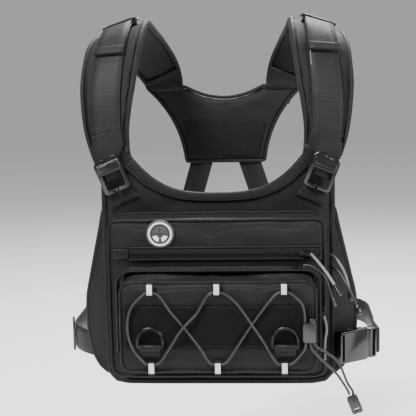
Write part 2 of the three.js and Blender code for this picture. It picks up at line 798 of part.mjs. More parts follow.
// The same piece for the other shoulder
function mirrored(geometry) {
  const other = new THREE.BufferGeometry().copy(geometry).scale(-1, 1, 1);
  const { index } = other;
  for (let i = 0; i < index.count; i += 3) {
    const first = index.getX(i);
    index.setX(i, index.getX(i + 1));
    index.setX(i + 1, first);
  }
  return other;
}

function padHalfWidth(t) {
  const place = t * (padHalfWidths.length - 1);
  const i = Math.min(Math.floor(place), padHalfWidths.length - 2);
  return THREE.MathUtils.lerp(padHalfWidths[i], padHalfWidths[i + 1], place - i);
}

const onPad = padThickness + strapGap;
const onWebbing = onPad + webbingThickness + strapGap;

// Places a piece drawn at the origin, with +Y out of the strap, on the strap's surface
function onStrap(geometry, t, off) {
  const { point, across, up } = strapFrame(t);
  const frame = new THREE.Matrix4().makeBasis(across, up, across.clone().cross(up));
  return geometry.applyMatrix4(frame.setPosition(point.clone().addScaledVector(up, off)));
}

// A flat slider of two slots and a middle bar, lying in X and Z with its thickness up Y
function triGlide(width, length, thickness) {
  const plate = block(vec(-width / 2, 0, -length / 2), vec(width / 2, thickness, length / 2));
  const slotHalf = width / 2 - glideBar;
  const slot = (low, high) => block(vec(-slotHalf, -1, low), vec(slotHalf, thickness + 1, high));
  const bar = glideBar / 2;
  return cut(plate, slot(-length / 2 + glideBar, -bar), slot(bar, length / 2 - glideBar));
}

const bothShoulders = (name, geometry, material) => {
  addPart(`${name}_right`, geometry, material);
  addPart(`${name}_left`, mirrored(geometry), material);
};

const halfWebbing = () => webbing / 2;
bothShoulders('shoulder_pad', shoulderStrap(0, strapStations, padHalfWidth, 0, padThickness), nylon);
bothShoulders('shoulder_webbing',
  shoulderStrap(1, strapStations, halfWebbing, onPad, onPad + webbingThickness), webbingLook);
bothShoulders('shoulder_webbing_flap',
  shoulderStrap(flapStart, flapEnd, halfWebbing, onWebbing, onWebbing + webbingThickness), webbingLook);
bothShoulders('shoulder_adjuster',
  onStrap(triGlide(webbing + 2 * glideBar, glideLength, glideThickness), glidePlace, onWebbing), blackPlastic);

// ---- Shoulder buckles -------------------------------------------------------------------

// The tab of doubled fabric that holds a shoulder buckle on the bib's horn
function buckleTab() {
  const shape = polygon([[-20, -38], [20, -38], [buckleWidth / 2 - 6, -buckleLength / 2 + 4],
    [-buckleWidth / 2 + 6, -buckleLength / 2 + 4]]);
  return extrudeForward(shape, 0, 2.4);
}

// A ladder buckle: two windows, a raised bar over the top one and a split bottom bar
function ladderBuckle() {
  const w = buckleWidth / 2;
  const h = buckleLength / 2;
  const outline = polygon([
    [-w + 3, -h], [w - 3, -h], [w, -h + 3], [w, h - 5], [w - 4, h], [4, h], [0, h - 3], [-4, h],
    [-w + 4, h], [-w, h - 5], [-w, -h + 3],
  ]);
  const frame = extrudeForward(outline, 0, buckleThickness - 2);
  const bridge = extrudeAcross(polygon([[-2, h - 18], [-buckleThickness - 1, h - 15],
    [-buckleThickness - 1, h - 8], [-2, h - 4]]), -w + 3, 2 * w - 6);
  const solid = join(frame, bridge);
  const window = (low, high, rear, front) => block(vec(-w + 5, front, low), vec(w - 5, rear, high));
  const split = block(vec(-1, -10, -h - 1), vec(1.2, 1, -h + 5));
  return cut(solid, window(h - 15, h - 6, 1, -3.4), window(-h + 5, h - 19, 1, -12), split);
}

for (const side of [-1, 1]) {
  const end = side < 0 ? 'left' : 'right';
  const seat = new THREE.Group();
  seat.position.set(side * buckleX, -(bibThickness + gap), buckleZ);
  seat.rotation.y = side * degrees(buckleTilt);
  vest.add(seat);
  addPart(`shoulder_buckle_tab_${end}`, buckleTab(), webbingLook, seat);
  const buckle = addPart(`shoulder_buckle_${end}`, ladderBuckle(), blackPlastic, seat);
  buckle.position.y = -(2.4 + gap);
}

// ---- Back -------------------------------------------------------------------------------

function backYoke() {
  const half = yokeWidth / 2;
  const shape = new THREE.Shape();
  shape.moveTo(-half, yokeTop);
  shape.quadraticCurveTo(-half * 0.56, yokeTop - yokeHeight * 0.4, -half * 0.5, yokeTop - yokeHeight);
  shape.lineTo(half * 0.5, yokeTop - yokeHeight);
  shape.quadraticCurveTo(half * 0.56, yokeTop - yokeHeight * 0.4, half, yokeTop);
  shape.lineTo(strapEndX - 30, yokeTop);
  shape.quadraticCurveTo(0, yokeTop - 32, -strapEndX + 30, yokeTop);
  return extrudeForward(shape, yokeY + padThickness, padThickness, 8);
}

addPart('back_yoke', backYoke(), nylon);

// A strap of webbing down the back from the yoke to the belt
function backStrap(side) {
  const low = beltHeight + belt / 2 + gap;
  const top = yokeTop - yokeHeight - gap;
  const beltPlace = onBody(side * (halfGirth - 95), 0, low);
  const from = vec(side * (yokeWidth * 0.25 - 22), yokeY + 3, top);
  const to = vec(beltPlace.x, beltPlace.y + 0.4, low);
  const rows = range(6).map((t) => {
    const p = from.clone().lerp(to, t);
    p.y += 8 * Math.sin(Math.PI * t);
    const half = belt / 2;
    return [vec(p.x - half, p.y, p.z), vec(p.x + half, p.y, p.z),
      vec(p.x + half, p.y + webbingThickness, p.z), vec(p.x - half, p.y + webbingThickness, p.z)];
  });
  return loft(rows);
}

for (const side of [-1, 1]) {
  addPart(side < 0 ? 'back_strap_left' : 'back_strap_right', backStrap(side), webbingLook);
}

// ---- Waist belt -------------------------------------------------------------------------

const beltLow = beltHeight - belt / 2;
const beltHigh = beltHeight + belt / 2;
const wingEnd = alongAt(wingHalfWidth) + 2;
const adjusterPlace = wingEnd + 48;

addPart('belt_anchor_left', bodyBand(
  -(wingEnd + gap), -(adjusterPlace - 2), 0, webbingThickness, beltLow, beltHigh, 8), webbingLook);

function beltAdjuster() {
  const glide = triGlide(belt + 2 * glideBar, glideLength, glideThickness);
  const out = onBody(-adjusterPlace, 1, 0).sub(onBody(-adjusterPlace, 0, 0));
  const frame = new THREE.Matrix4().makeBasis(axisZ, out, axisZ.clone().cross(out));
  frame.setPosition(onBody(-adjusterPlace, webbingThickness + gap, beltHeight));
  return glide.applyMatrix4(frame);
}

addPart('belt_adjuster', beltAdjuster(), blackPlastic);

// The side-release buckle lies flat against the right wing; its frame has X along the belt
const releaseStart = upperWidth / 2 + releaseClear + releaseBar;
const releaseMiddle = releaseStart + releaseShell / 2;
const releaseTurn = (releaseMiddle - chestFlatHalf) / ribRadius;
const releaseStand = wingThickness + webbingThickness + 2 * gap;
const releaseSeat = onBody(releaseMiddle, releaseStand, beltHeight);
const maleStart = releaseShell / 2 + gap;
const maleLength = 14;
const guideHalf = 3;
const armInner = 9;
const armOuter = 13;
const armRoot = maleStart - gap;

const release = new THREE.Group();
release.position.copy(releaseSeat);
release.rotation.z = releaseTurn;
release.updateMatrix();
vest.add(release);

function releaseFemale() {
  const half = releaseHeight / 2;
  const left = -releaseShell / 2;
  const right = releaseShell / 2;
  const outline = roundedRectangle(left - releaseBar, -half, right, half, 4);
  const shell = extrudeForward(outline, 0, releaseThickness, 3);
  const inner = vec(right + 1, -releaseWall, half - releaseWall);
  const cavity = block(vec(left + 4, -releaseThickness + releaseWall, -half + releaseWall), inner);
  const windows = block(
    vec(left + 5, -releaseThickness + releaseWall, -half - 1),
    vec(left + 19, -releaseWall, half + 1),
  );
  const slotLeft = left - releaseBar + 3;
  const slot = block(vec(slotLeft, -20, -belt / 2 - 1), vec(slotLeft + 3.5, 1, belt / 2 + 1));
  return cut(shell, cavity, windows, slot);
}

function releaseMale() {
  const half = releaseHeight / 2;
  const outline = roundedRectangle(maleStart, -half + 1, maleStart + maleLength, half - 1, 3);
  const base = extrudeForward(outline, -0.5, releaseThickness - 1, 3);
  const guide = block(
    vec(-releaseShell / 2 + 8, -releaseThickness / 2 - 1.5, -guideHalf),
    vec(maleStart + 1, -releaseThickness / 2 + 1.5, guideHalf),
  );
  const slot = block(
    vec(maleStart + maleLength - 6.5, -20, -belt / 2 - 1),
    vec(maleStart + maleLength - 3, 1, belt / 2 + 1),
  );
  return cut(join(base, guide), slot);
}

// A sprung prong: an arm with a head that fills the shell's side window
function releaseProng(side) {
  const head = releaseHeight / 2 - 0.5;
  const tip = -releaseShell / 2 + 6;
  const shape = polygon([
    [armRoot - 0.4, side * armInner], [armRoot - 0.4, side * armOuter], [tip + 12, side * armOuter],
    [tip + 10.5, side * head], [tip + 3, side * head], [tip, side * (armOuter - 1)], [tip, side * armInner],
  ]);
  return extrudeForward(shape, -releaseWall - 0.6, releaseThickness - 2 * releaseWall - 1.2);
}

addPart('belt_buckle_shell', releaseFemale(), blackPlastic, release);
addPart('belt_buckle_insert', releaseMale(), blackPlastic, release);
addPart('belt_buckle_prong_upper', releaseProng(1), blackPlastic, release);
addPart('belt_buckle_prong_lower', releaseProng(-1), blackPlastic, release);

addPart('belt_anchor_right', bodyBand(
  alongAt(bibHalfWidth) + 2, releaseMiddle - 4, wingThickness + gap, wingThickness + gap + webbingThickness,
  beltLow, beltHigh, 4), webbingLook);

// The belt runs from the adjuster round the back and in to the buckle's insert
function waistBelt() {
  const from = -(adjusterPlace - 2 + gap);
  const to = -(2 * halfGirth - releaseMiddle - maleStart - maleLength - 34);
  const sections = range(56).map((t) => {
    const s = from + (to - from) * t;
    return [onBody(s, 0, beltLow), onBody(s, webbingThickness, beltLow),
      onBody(s, webbingThickness, beltHigh), onBody(s, 0, beltHigh)];
  });
  const end = maleStart + maleLength + gap;
  const rear = -releaseThickness / 2 + webbingThickness / 2;
  const corner = (x, y, z) => vec(x, y, z).applyMatrix4(release.matrix);
  for (const x of [end + 8, end]) {
    sections.push([corner(x, rear, -belt / 2), corner(x, rear - webbingThickness, -belt / 2),
      corner(x, rear - webbingThickness, belt / 2), corner(x, rear, belt / 2)]);
  }
  return loft(sections);
}

addPart('waist_belt', waistBelt(), webbingLook);

export default vest;
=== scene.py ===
"""A black nylon chest rig: a padded bib with two zipped pouches, laced with elastic cord,
on two padded shoulder straps, a back yoke and a buckled waist belt.  Metres, +Z up, front -Y."""
import json
import math

import bmesh
import bpy
from mathutils import Matrix, Vector, noise
from mathutils.bvhtree import BVHTree

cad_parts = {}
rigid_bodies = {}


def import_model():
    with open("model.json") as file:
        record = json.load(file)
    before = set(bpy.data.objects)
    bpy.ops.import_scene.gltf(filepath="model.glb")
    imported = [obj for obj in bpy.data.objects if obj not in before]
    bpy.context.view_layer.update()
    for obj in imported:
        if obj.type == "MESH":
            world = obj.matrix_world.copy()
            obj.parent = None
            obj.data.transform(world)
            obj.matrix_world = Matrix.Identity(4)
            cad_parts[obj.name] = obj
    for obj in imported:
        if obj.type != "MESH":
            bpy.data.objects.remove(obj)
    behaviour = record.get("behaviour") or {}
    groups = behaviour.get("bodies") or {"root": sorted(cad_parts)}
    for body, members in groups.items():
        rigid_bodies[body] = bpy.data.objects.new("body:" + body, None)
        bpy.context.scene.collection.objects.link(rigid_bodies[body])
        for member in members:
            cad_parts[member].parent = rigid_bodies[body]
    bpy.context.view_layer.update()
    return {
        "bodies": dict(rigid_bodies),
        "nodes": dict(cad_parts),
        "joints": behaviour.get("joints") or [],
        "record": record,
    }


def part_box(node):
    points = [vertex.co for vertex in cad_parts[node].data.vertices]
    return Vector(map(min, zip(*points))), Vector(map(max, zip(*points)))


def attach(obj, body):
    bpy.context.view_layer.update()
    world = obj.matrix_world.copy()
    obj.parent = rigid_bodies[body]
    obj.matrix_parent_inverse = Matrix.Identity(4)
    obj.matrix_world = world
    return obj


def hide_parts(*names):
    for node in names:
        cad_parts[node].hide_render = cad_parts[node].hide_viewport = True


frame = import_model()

MM = 0.001
UP = Vector((0, 0, 1))
FRONT = Vector((0, -1, 0))
HARNESS = "harness"
SIDES = {-1: "left", 1: "right"}
nodes = frame["nodes"]


def mm(x, y, z):
    return Vector((x, y, z)) * MM


# ---- Camera, floor and light ------------------------------------------------------------

CAMERA_TARGET = mm(-12, 0, 101.5)
CAMERA_DISTANCE = 1.35
CAMERA_AZIMUTH = math.radians(4)
CAMERA_ELEVATION = math.radians(8)
CAMERA_ROLL = math.radians(-1.2)
CAMERA_LENS = 94
FLOOR_DROP = 0.33
FLOOR_HALF = 6
LIGHT_TARGET = mm(0, 0, 80)


def make_camera():
    data = bpy.data.cameras.new("camera")
    data.lens = CAMERA_LENS
    data.sensor_width = 36
    data.clip_end = 20
    camera = bpy.data.objects.new("camera", data)
    bpy.context.scene.collection.objects.link(camera)
    away = Vector((
        math.sin(CAMERA_AZIMUTH) * math.cos(CAMERA_ELEVATION),
        -math.cos(CAMERA_AZIMUTH) * math.cos(CAMERA_ELEVATION),
        math.sin(CAMERA_ELEVATION),
    ))
    camera.location = CAMERA_TARGET + away * CAMERA_DISTANCE
    aim = (-away).to_track_quat("-Z", "Y").to_matrix()
    camera.rotation_euler = (aim @ Matrix.Rotation(CAMERA_ROLL, 3, "Z")).to_euler()
    bpy.context.scene.camera = camera


def make_floor():
    bm = bmesh.new()
    bmesh.ops.create_grid(bm, x_segments=1, y_segments=1, size=FLOOR_HALF)
    bmesh.ops.translate(bm, verts=bm.verts, vec=(0, 0, -FLOOR_DROP))
    mesh = bpy.data.meshes.new("floor")
    bm.to_mesh(mesh)
    bm.free()
    floor = bpy.data.objects.new("floor", mesh)
    bpy.context.scene.collection.objects.link(floor)
    material = bpy.data.materials.new("floor_paper")
    material.use_nodes = True
    shader = material.node_tree.nodes["Principled BSDF"]
    shader.inputs["Base Color"].default_value = (0.9, 0.9, 0.89, 1)
    shader.inputs["Roughness"].default_value = 0.9
    mesh.materials.append(material)


def make_light(name, place, size, power):
    """A square soft light aimed at the middle of the vest."""
    data = bpy.data.lights.new(name, "AREA")
    data.energy = power
    data.size = size
    light = bpy.data.objects.new(name, data)
    light.location = place
    light.rotation_euler = (LIGHT_TARGET - Vector(place)).to_track_quat("-Z", "Y").to_euler()
    bpy.context.scene.collection.objects.link(light)


def make_studio():
    world = bpy.data.worlds.new("studio")
    world.use_nodes = True
    background = world.node_tree.nodes["Background"]
    background.inputs["Color"].default_value = (0.93, 0.94, 0.95, 1)
    background.inputs["Strength"].default_value = 0.43
    bpy.context.scene.world = world
    make_light("key", (-0.8, -1.0, 1.9), 0.6, 115)
    make_light("fill", (1.9, -0.8, 0.9), 0.6, 50)
    make_light("rim", (0.2, 1.4, 1.5), 1.0, 60)


make_camera()
make_floor()
make_studio()


# ---- Materials --------------------------------------------------------------------------

WAVE_TURNS = 2 * math.pi / 20


class Finish:
    """A material's node tree, built a step at a time."""

    def __init__(self, name, colour, roughness, metallic=0.0, sheen=0.0, coat=0.0, specular=0.5):
        self.material = bpy.data.materials.new(name)
        self.material.use_nodes = True
        self.tree = self.material.node_tree
        self.shader = self.tree.nodes["Principled BSDF"]
        self.shader.inputs["Base Color"].default_value = (*colour, 1)
        self.shader.inputs["Roughness"].default_value = roughness
        self.shader.inputs["Metallic"].default_value = metallic
        self.shader.inputs["Sheen Weight"].default_value = sheen
        self.shader.inputs["Sheen Roughness"].default_value = 0.4
        self.shader.inputs["Specular IOR Level"].default_value = specular
        self.shader.inputs["Coat Weight"].default_value = coat
        self.coordinates = self.tree.nodes.new("ShaderNodeTexCoord")

    def node(self, kind, **sources):
        """A new node, with each named input fed from an output."""
        node = self.tree.nodes.new(kind)
        for key, output in sources.items():
            self.tree.links.new(output, node.inputs[key])
        return node

    def math(self, operation, a, b):
        node = self.tree.nodes.new("ShaderNodeMath")
        node.operation = operation
        for socket, value in zip(node.inputs, (a, b)):
            if isinstance(value, bpy.types.NodeSocket):
                self.tree.links.new(value, socket)
            else:
                socket.default_value = value
        return node.outputs[0]

    def place(self, source, turn=0.0):
        mapping = self.node("ShaderNodeMapping", Vector=self.coordinates.outputs[source])
        mapping.inputs["Rotation"].default_value = (0, 0, turn)
        return mapping.outputs[0]

    def noise(self, scale, detail):
        node = self.node("ShaderNodeTexNoise", Vector=self.place("Object"))
        node.inputs["Scale"].default_value = scale
        node.inputs["Detail"].default_value = detail
        return node.outputs[0]

    def wave(self, source, period, direction, turn=0.0):
        """A sine band pattern of a period in metres."""
        node = self.node("ShaderNodeTexWave", Vector=self.place(source, turn=turn))
        node.bands_direction = direction
        node.inputs["Scale"].default_value = WAVE_TURNS / period
        return node.outputs["Fac"]

    def mixed(self, first, share, second):
        """The weighted sum of two values, the first at its share and the second at the rest."""
        return self.math("ADD", self.math("MULTIPLY", first, share), self.math("MULTIPLY", second, 1 - share))

    def crossed(self, period, turn):
        """Two sets of bands that lean to either side of the length."""
        return [self.wave("UV", period, "X", turn=lean) for lean in (turn, -turn)]

    def spread(self, value, low, high):
        node = self.node("ShaderNodeMapRange", Value=value)
        node.inputs["To Min"].default_value = low
        node.inputs["To Max"].default_value = high
        return node.outputs[0]

    def colour_between(self, factor, first, second):
        """Sets the colour, from first to second as the factor goes from 0 to 1."""
        node = self.tree.nodes.new("ShaderNodeMix")
        node.data_type = "RGBA"
        self.tree.links.new(factor, node.inputs["Factor"])
        for socket, colour in zip(node.inputs[6:8], (first, second)):
            socket.default_value = (*colour, 1)
        self.tree.links.new(node.outputs[2], self.shader.inputs["Base Color"])

    def rough_between(self, factor, low, high):
        self.tree.links.new(self.spread(factor, low, high), self.shader.inputs["Roughness"])

    def bump(self, height, strength, distance):
        node = self.node("ShaderNodeBump", Height=height)
        node.inputs["Strength"].default_value = strength
        node.inputs["Distance"].default_value = distance
        self.tree.links.new(node.outputs[0], self.shader.inputs["Normal"])


def woven(name, dark, light, thread, rough):
    """Plain-woven cloth, with threads along the piece's own three directions."""
    finish = Finish(name, dark, rough, sheen=0.02, specular=0.15)
    across, through, up = (finish.wave("Object", thread, way) for way in "XYZ")
    weave = finish.math("ADD", finish.math("ADD", across, through), up)
    blotch = finish.noise(38, 5)
    fibre = finish.noise(900, 2)
    tone = finish.mixed(blotch, 0.7, fibre)
    finish.colour_between(finish.spread(tone, 0.0, 1.0), dark, light)
    finish.rough_between(blotch, rough - 0.1, rough + 0.08)
    relief = finish.math("ADD", finish.math("MULTIPLY", weave, 0.22), finish.math("MULTIPLY", blotch, 0.85))
    finish.bump(relief, 0.55, 0.0012)
    return finish.material


def strap_cloth(name, dark, light, rib, rough):
    """Heavy webbing: ribs across the strap and a fine grain along it, on the strap's own UV in metres."""
    finish = Finish(name, dark, rough, sheen=0.03, specular=0.17)
    ribs = finish.wave("UV", rib, "X")
    grain = finish.wave("UV", rib * 0.8, "Y")
    blotch = finish.noise(60, 4)
    weave = finish.math("MULTIPLY", ribs, grain)
    tone = finish.mixed(weave, 0.5, blotch)
    finish.colour_between(tone, dark, light)
    finish.rough_between(blotch, rough - 0.12, rough + 0.1)
    relief = finish.mixed(weave, 0.8, blotch)
    finish.bump(relief, 0.6, 0.0005)
    return finish.material


def braid(name, dark, light, turn_length, rough):
    """Braided sheath: two sets of strands crossing round the cord, on UV in metres and turns."""
    finish = Finish(name, dark, rough, sheen=0.02, specular=0.45)
    strands = finish.math("MAXIMUM", *finish.crossed(turn_length, 0.9))
    finish.colour_between(strands, dark, light)
    finish.bump(strands, 0.5, 0.0004)
    return finish.material


def moulded(name, dark, light, rough, coat=0.0):
    """Moulded plastic or rubber with a fine surface grain and slight handling wear."""
    finish = Finish(name, dark, rough, coat=coat)
    blotch = finish.noise(55, 4)
    fine = finish.noise(700, 2)
    finish.colour_between(finish.math("MULTIPLY", blotch, fine), dark, light)
    finish.rough_between(blotch, rough - 0.08, rough + 0.14)
    finish.bump(fine, 0.18, 0.0003)
    return finish.material


def coated_metal(name, dark, light, rough):
    """Black-coated wire or casting whose coat has rubbed thin in places."""
    finish = Finish(name, dark, rough, metallic=0.85)
    rub = finish.noise(160, 6)
    finish.colour_between(finish.math("POWER", rub, 3.0), dark, light)
    finish.rough_between(rub, rough - 0.12, rough + 0.15)
    finish.bump(rub, 0.12, 0.0003)
    return finish.material


def pile(name, dark, light):
    """The loop side of a touch fastener: a dense matt pile."""
    finish = Finish(name, dark, 0.95, sheen=0.03, specular=0.08)
    fuzz = finish.noise(650, 6)
    clump = finish.noise(120, 3)
    tuft = finish.mixed(fuzz, 0.7, clump)
    finish.colour_between(tuft, dark, light)
    finish.bump(tuft, 0.9, 0.0016)
    return finish.material


def air_mesh(name, dark, light):
    """Spacer mesh: a field of small round holes, each coloured darker towards its middle as painted shade inside
    the hole.
    """
    finish = Finish(name, dark, 0.9, sheen=0.03, specular=0.12)
    holes = finish.node("ShaderNodeTexVoronoi", Vector=finish.place("Object"))
    holes.inputs["Scale"].default_value = 330
    holes.inputs["Randomness"].default_value = 0.25
    # Painted shade: each hole's middle gets the darker colour, as shade down in the hole.
    finish.colour_between(finish.spread(holes.outputs["Distance"], 1.0, 0.0), light, dark)
    finish.bump(finish.math("MULTIPLY", holes.outputs["Distance"], -1.0), 0.8, 0.0015)
    return finish.material


def reflective_tape(name):
    """Silver retro-reflective ribbon with a fine diamond grain."""
    finish = Finish(name, (0.55, 0.57, 0.6), 0.42, metallic=0.25)
    diamonds = finish.math("MULTIPLY", *finish.crossed(0.0016, 0.78))
    finish.colour_between(diamonds, (0.5, 0.52, 0.55), (0.82, 0.84, 0.86))
    finish.bump(diamonds, 0.3, 0.0002)
    return finish.material


NYLON = woven("oxford_nylon", (0.0035, 0.0035, 0.004), (0.0125, 0.0125, 0.0135), 0.0013, 0.44)
LINING = woven("pad_cover_nylon", (0.0028, 0.0028, 0.0032), (0.010, 0.010, 0.011), 0.0011, 0.56)
AIR_MESH = air_mesh("air_mesh", (0.002, 0.002, 0.0024), (0.014, 0.014, 0.016))
WEBBING = strap_cloth("nylon_webbing", (0.003, 0.003, 0.0034), (0.017, 0.0172, 0.019), 0.0016, 0.5)
BINDING = strap_cloth("binding_tape", (0.0022, 0.0022, 0.0025), (0.012, 0.012, 0.0133), 0.0011, 0.52)
ZIP_TAPE = strap_cloth("zip_tape", (0.0018, 0.0018, 0.002), (0.008, 0.008, 0.009), 0.0008, 0.55)
THREAD = moulded("sewing_thread", (0.006, 0.006, 0.007), (0.03, 0.03, 0.033), 0.5)
PALE_THREAD = moulded("pale_sewing_thread", (0.45, 0.46, 0.47), (0.7, 0.7, 0.7), 0.6)
CORD = braid("elastic_cord", (0.002, 0.002, 0.0023), (0.022, 0.0222, 0.025), 0.0017, 0.38)
SLEEVE = moulded("cord_sleeve", (0.10, 0.102, 0.105), (0.2, 0.205, 0.21), 0.45)
PILE = pile("loop_pile", (0.0012, 0.0012, 0.0014), (0.011, 0.011, 0.012))
REFLECTIVE = reflective_tape("reflective_ribbon")
BLACK_PLASTIC = moulded("black_acetal", (0.0022, 0.0022, 0.0025), (0.007, 0.007, 0.0078), 0.2, coat=0.3)
SMOKE_PLASTIC = moulded("smoke_plastic", (0.012, 0.0122, 0.013), (0.045, 0.0455, 0.048), 0.28, coat=0.3)
GREY_RUBBER = moulded("port_rubber", (0.03, 0.031, 0.033), (0.07, 0.072, 0.076), 0.55)
PORT_WHITE = moulded("port_white", (0.6, 0.61, 0.62), (0.8, 0.8, 0.8), 0.45)
DARK_METAL = coated_metal("coated_wire", (0.006, 0.006, 0.007), (0.12, 0.12, 0.125), 0.3)


# ---- Mesh making ------------------------------------------------------------------------

def add_piece(name, mesh, material, node=None, body=HARNESS):
    """Adds a mesh as a smooth piece that rides on a body, in place of a CAD node if one is given."""
    mesh.materials.append(material)
    mesh.shade_smooth()
    piece = bpy.data.objects.new(name, mesh)
    bpy.context.scene.collection.objects.link(piece)
    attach(piece, body)
    if node:
        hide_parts(node)
    return piece


def finish_piece(name, bm, material, node=None, body=HARNESS):
    """Turns a bmesh into a piece."""
    mesh = bpy.data.meshes.new(name)
    bm.to_mesh(mesh)
    bm.free()
    return add_piece(name, mesh, material, node, body)


def oval_ring(middle, half_a, half_b, sides, power_a=1, power_b=1):
    """A ring of points round an oval; powers under 1 flatten its sides."""
    ring = []
    for k in range(sides):
        a = 2 * math.pi * k / sides
        c = math.copysign(abs(math.cos(a)) ** power_a, math.cos(a))
        s = math.copysign(abs(math.sin(a)) ** power_b, math.sin(a))
        ring.append(middle + half_a * c + half_b * s)
    return ring


def heading(line, i):
    """The way that a line of points runs at one of them."""
    return (line[min(i + 1, len(line) - 1)] - line[max(i - 1, 0)]).normalized()


def loft(rings, capped=True):
    """A skin over rings of points: a grid drawn out over them, welded along its seam, with UVs in metres."""
    count = len(rings[0])
    bm = bmesh.new()
    uv = bm.loops.layers.uv.verify()
    grid = bmesh.ops.create_grid(bm, x_segments=count, y_segments=len(rings) - 1, size=1)["verts"]
    travelled = [0.0]
    for points, previous in zip(rings[1:], rings):
        travelled.append(travelled[-1] + sum((a - b).length for a, b in zip(points, previous)) / count)
    girth = [0.0]
    for i in range(count):
        girth.append(girth[-1] + (rings[0][(i + 1) % count] - rings[0][i]).length)
    places = {}
    for vert in grid:
        i = round((vert.co.x + 1) / 2 * count)
        j = round((vert.co.y + 1) / 2 * (len(rings) - 1))
        places[vert] = (i, j)
        vert.co = rings[j][i % count]
    for face in bm.faces:
        for loop in face.loops:
            i, j = places[loop.vert]
            loop[uv].uv = (travelled[j], girth[i])
    bmesh.ops.remove_doubles(bm, verts=bm.verts, dist=1e-6)
    if capped:
        bmesh.ops.holes_fill(bm, edges=[e for e in bm.edges if e.is_boundary], sides=0)
    bmesh.ops.recalc_face_normals(bm, faces=bm.faces)
    return bm


def catmull(points, t):
    """A point of the smooth curve through some points, at a share t of its stretches."""
    last = len(points) - 1
    place = min(max(t, 0.0), 1.0) * last
    i = min(int(place), last - 1)
    weight = place - i
    before = points[i - 1] if i else points[0] * 2 - points[1]
    after = points[i + 2] if i + 2 <= last else points[last] * 2 - points[last - 1]
    a, b = points[i], points[i + 1]
    d0, d1, d2 = (max((q - p).length, 1e-9) ** 0.5 for p, q in ((before, a), (a, b), (b, after)))
    start = ((a - before) / d0 - (b - before) / (d0 + d1) + (b - a) / d1) * d1
    end = ((b - a) / d1 - (after - a) / (d1 + d2) + (after - b) / d2) * d1
    w2 = weight * weight
    w3 = w2 * weight
    return a + start * weight + (b * 3 - a * 3 - start * 2 - end) * w2 + (a * 2 - b * 2 + start + end) * w3


def smooth_line(points, steps):
    return [catmull(points, i / steps) for i in range(steps + 1)]


def tube(line, radius, sides):
    """A round tube along a line of points, its section carried along without twist."""
    rings = []
    side = heading(line, 0).orthogonal()
    for i, point in enumerate(line):
        ahead = heading(line, i)
        side = (side - ahead * side.dot(ahead)).normalized()
        rings.append(oval_ring(point, side * radius, ahead.cross(side) * radius, sides))
    return loft(rings)


def strap_section(half, thick, lift):
    """The outline of webbing seen end-on: flat, with rounded selvedges."""
    edge = thick * 0.5
    return [
        (-half, lift + edge), (-half + edge * 0.4, lift), (half - edge * 0.4, lift), (half, lift + edge),
        (half - edge * 0.4, lift + thick), (half * 0.5, lift + thick * 1.04), (0, lift + thick * 1.06),
        (-half * 0.5, lift + thick * 1.04), (-half + edge * 0.4, lift + thick),
    ]


def strap(frames, half, thick, lift=0.0):
    """Webbing through frames of (point, across, out): its underside stands off each point by lift."""
    section = strap_section(half, thick, lift)
    return loft([[point + across * a + out * n for a, n in section] for point, across, out in frames])


STITCH_PITCH = 3.2 * MM
STITCH_RADIUS = 0.36 * MM
STITCH_SHARE = 0.72


def bead_mesh(name, length, radius):
    """One small oval bead lying along X."""
    bm = bmesh.new()
    bmesh.ops.create_icosphere(bm, subdivisions=1, radius=radius)
    bmesh.ops.scale(bm, verts=bm.verts, vec=(length / 2 / radius, 1, 1))
    mesh = bpy.data.meshes.new(name)
    bm.to_mesh(mesh)
    bm.free()
    return mesh


def repeated(name, template, places, material):
    """One piece of many copies of a small mesh, one at each placing matrix."""
    corners = [v.co.copy() for v in template.vertices]
    faces = [tuple(p.vertices) for p in template.polygons]
    verts = [place @ c for place in places for c in corners]
    n = len(corners)
    skins = [tuple(k * n + i for i in face) for k in range(len(places)) for face in faces]
    mesh = bpy.data.meshes.new(name)
    mesh.from_pydata(verts, [], skins)
    bpy.data.meshes.remove(template)
    add_piece(name, mesh, material)


def along_row(row, pitch):
    """Placing matrices at every pitch along a row of points, with X along the row."""
    places = []
    travelled = 0.0
    due = pitch * 0.5
    for a, b in zip(row, row[1:]):
        step = (b - a).length
        while step > 0 and due <= travelled + step:
            turn = (b - a).normalized().to_track_quat("X", "Z").to_matrix().to_4x4()
            places.append(Matrix.Translation(a.lerp(b, (due - travelled) / step)) @ turn)
            due += pitch
        travelled += step
    return places


def stitch_rows(name, rows, thread=THREAD, pitch=STITCH_PITCH):
    """Rows of lockstitch: each stitch is a small oval bead lying along its row."""
    places = [place for row in rows for place in along_row(row, pitch)]
    repeated(name, bead_mesh(name, pitch * STITCH_SHARE, STITCH_RADIUS), places, thread)


def wrinkle(point, size, seed):
    """A smooth signed unevenness, the same on every run."""
    return noise.noise(Vector(point) / size + Vector((seed, seed * 0.37, -seed)))


WELD_GAP = 0.00002
CORNER_ANGLE = math.radians(28)


def dress(node, material, edge):
    """Finishes a hard CAD piece: its material and its softened edges."""
    piece = nodes[node]
    piece.data.materials.clear()
    piece.data.materials.append(material)
    piece.data.shade_smooth()
    weld = piece.modifiers.new("weld", "WELD")
    weld.merge_threshold = WELD_GAP
    bevel = piece.modifiers.new("edges", "BEVEL")
    bevel.width = edge
    bevel.segments = 2
    bevel.limit_method = "ANGLE"
    bevel.angle_limit = CORNER_ANGLE
    bevel.harden_normals = True
    return piece


# ---- The body that the vest wraps -------------------------------------------------------

CHEST_FLAT_HALF = 112
RIB_RADIUS = 85
CHEST_DEPTH = 240
QUARTER = RIB_RADIUS * math.pi / 2
FLANK = CHEST_DEPTH - 2 * RIB_RADIUS
HALF_GIRTH = 2 * CHEST_FLAT_HALF + 2 * QUARTER + FLANK


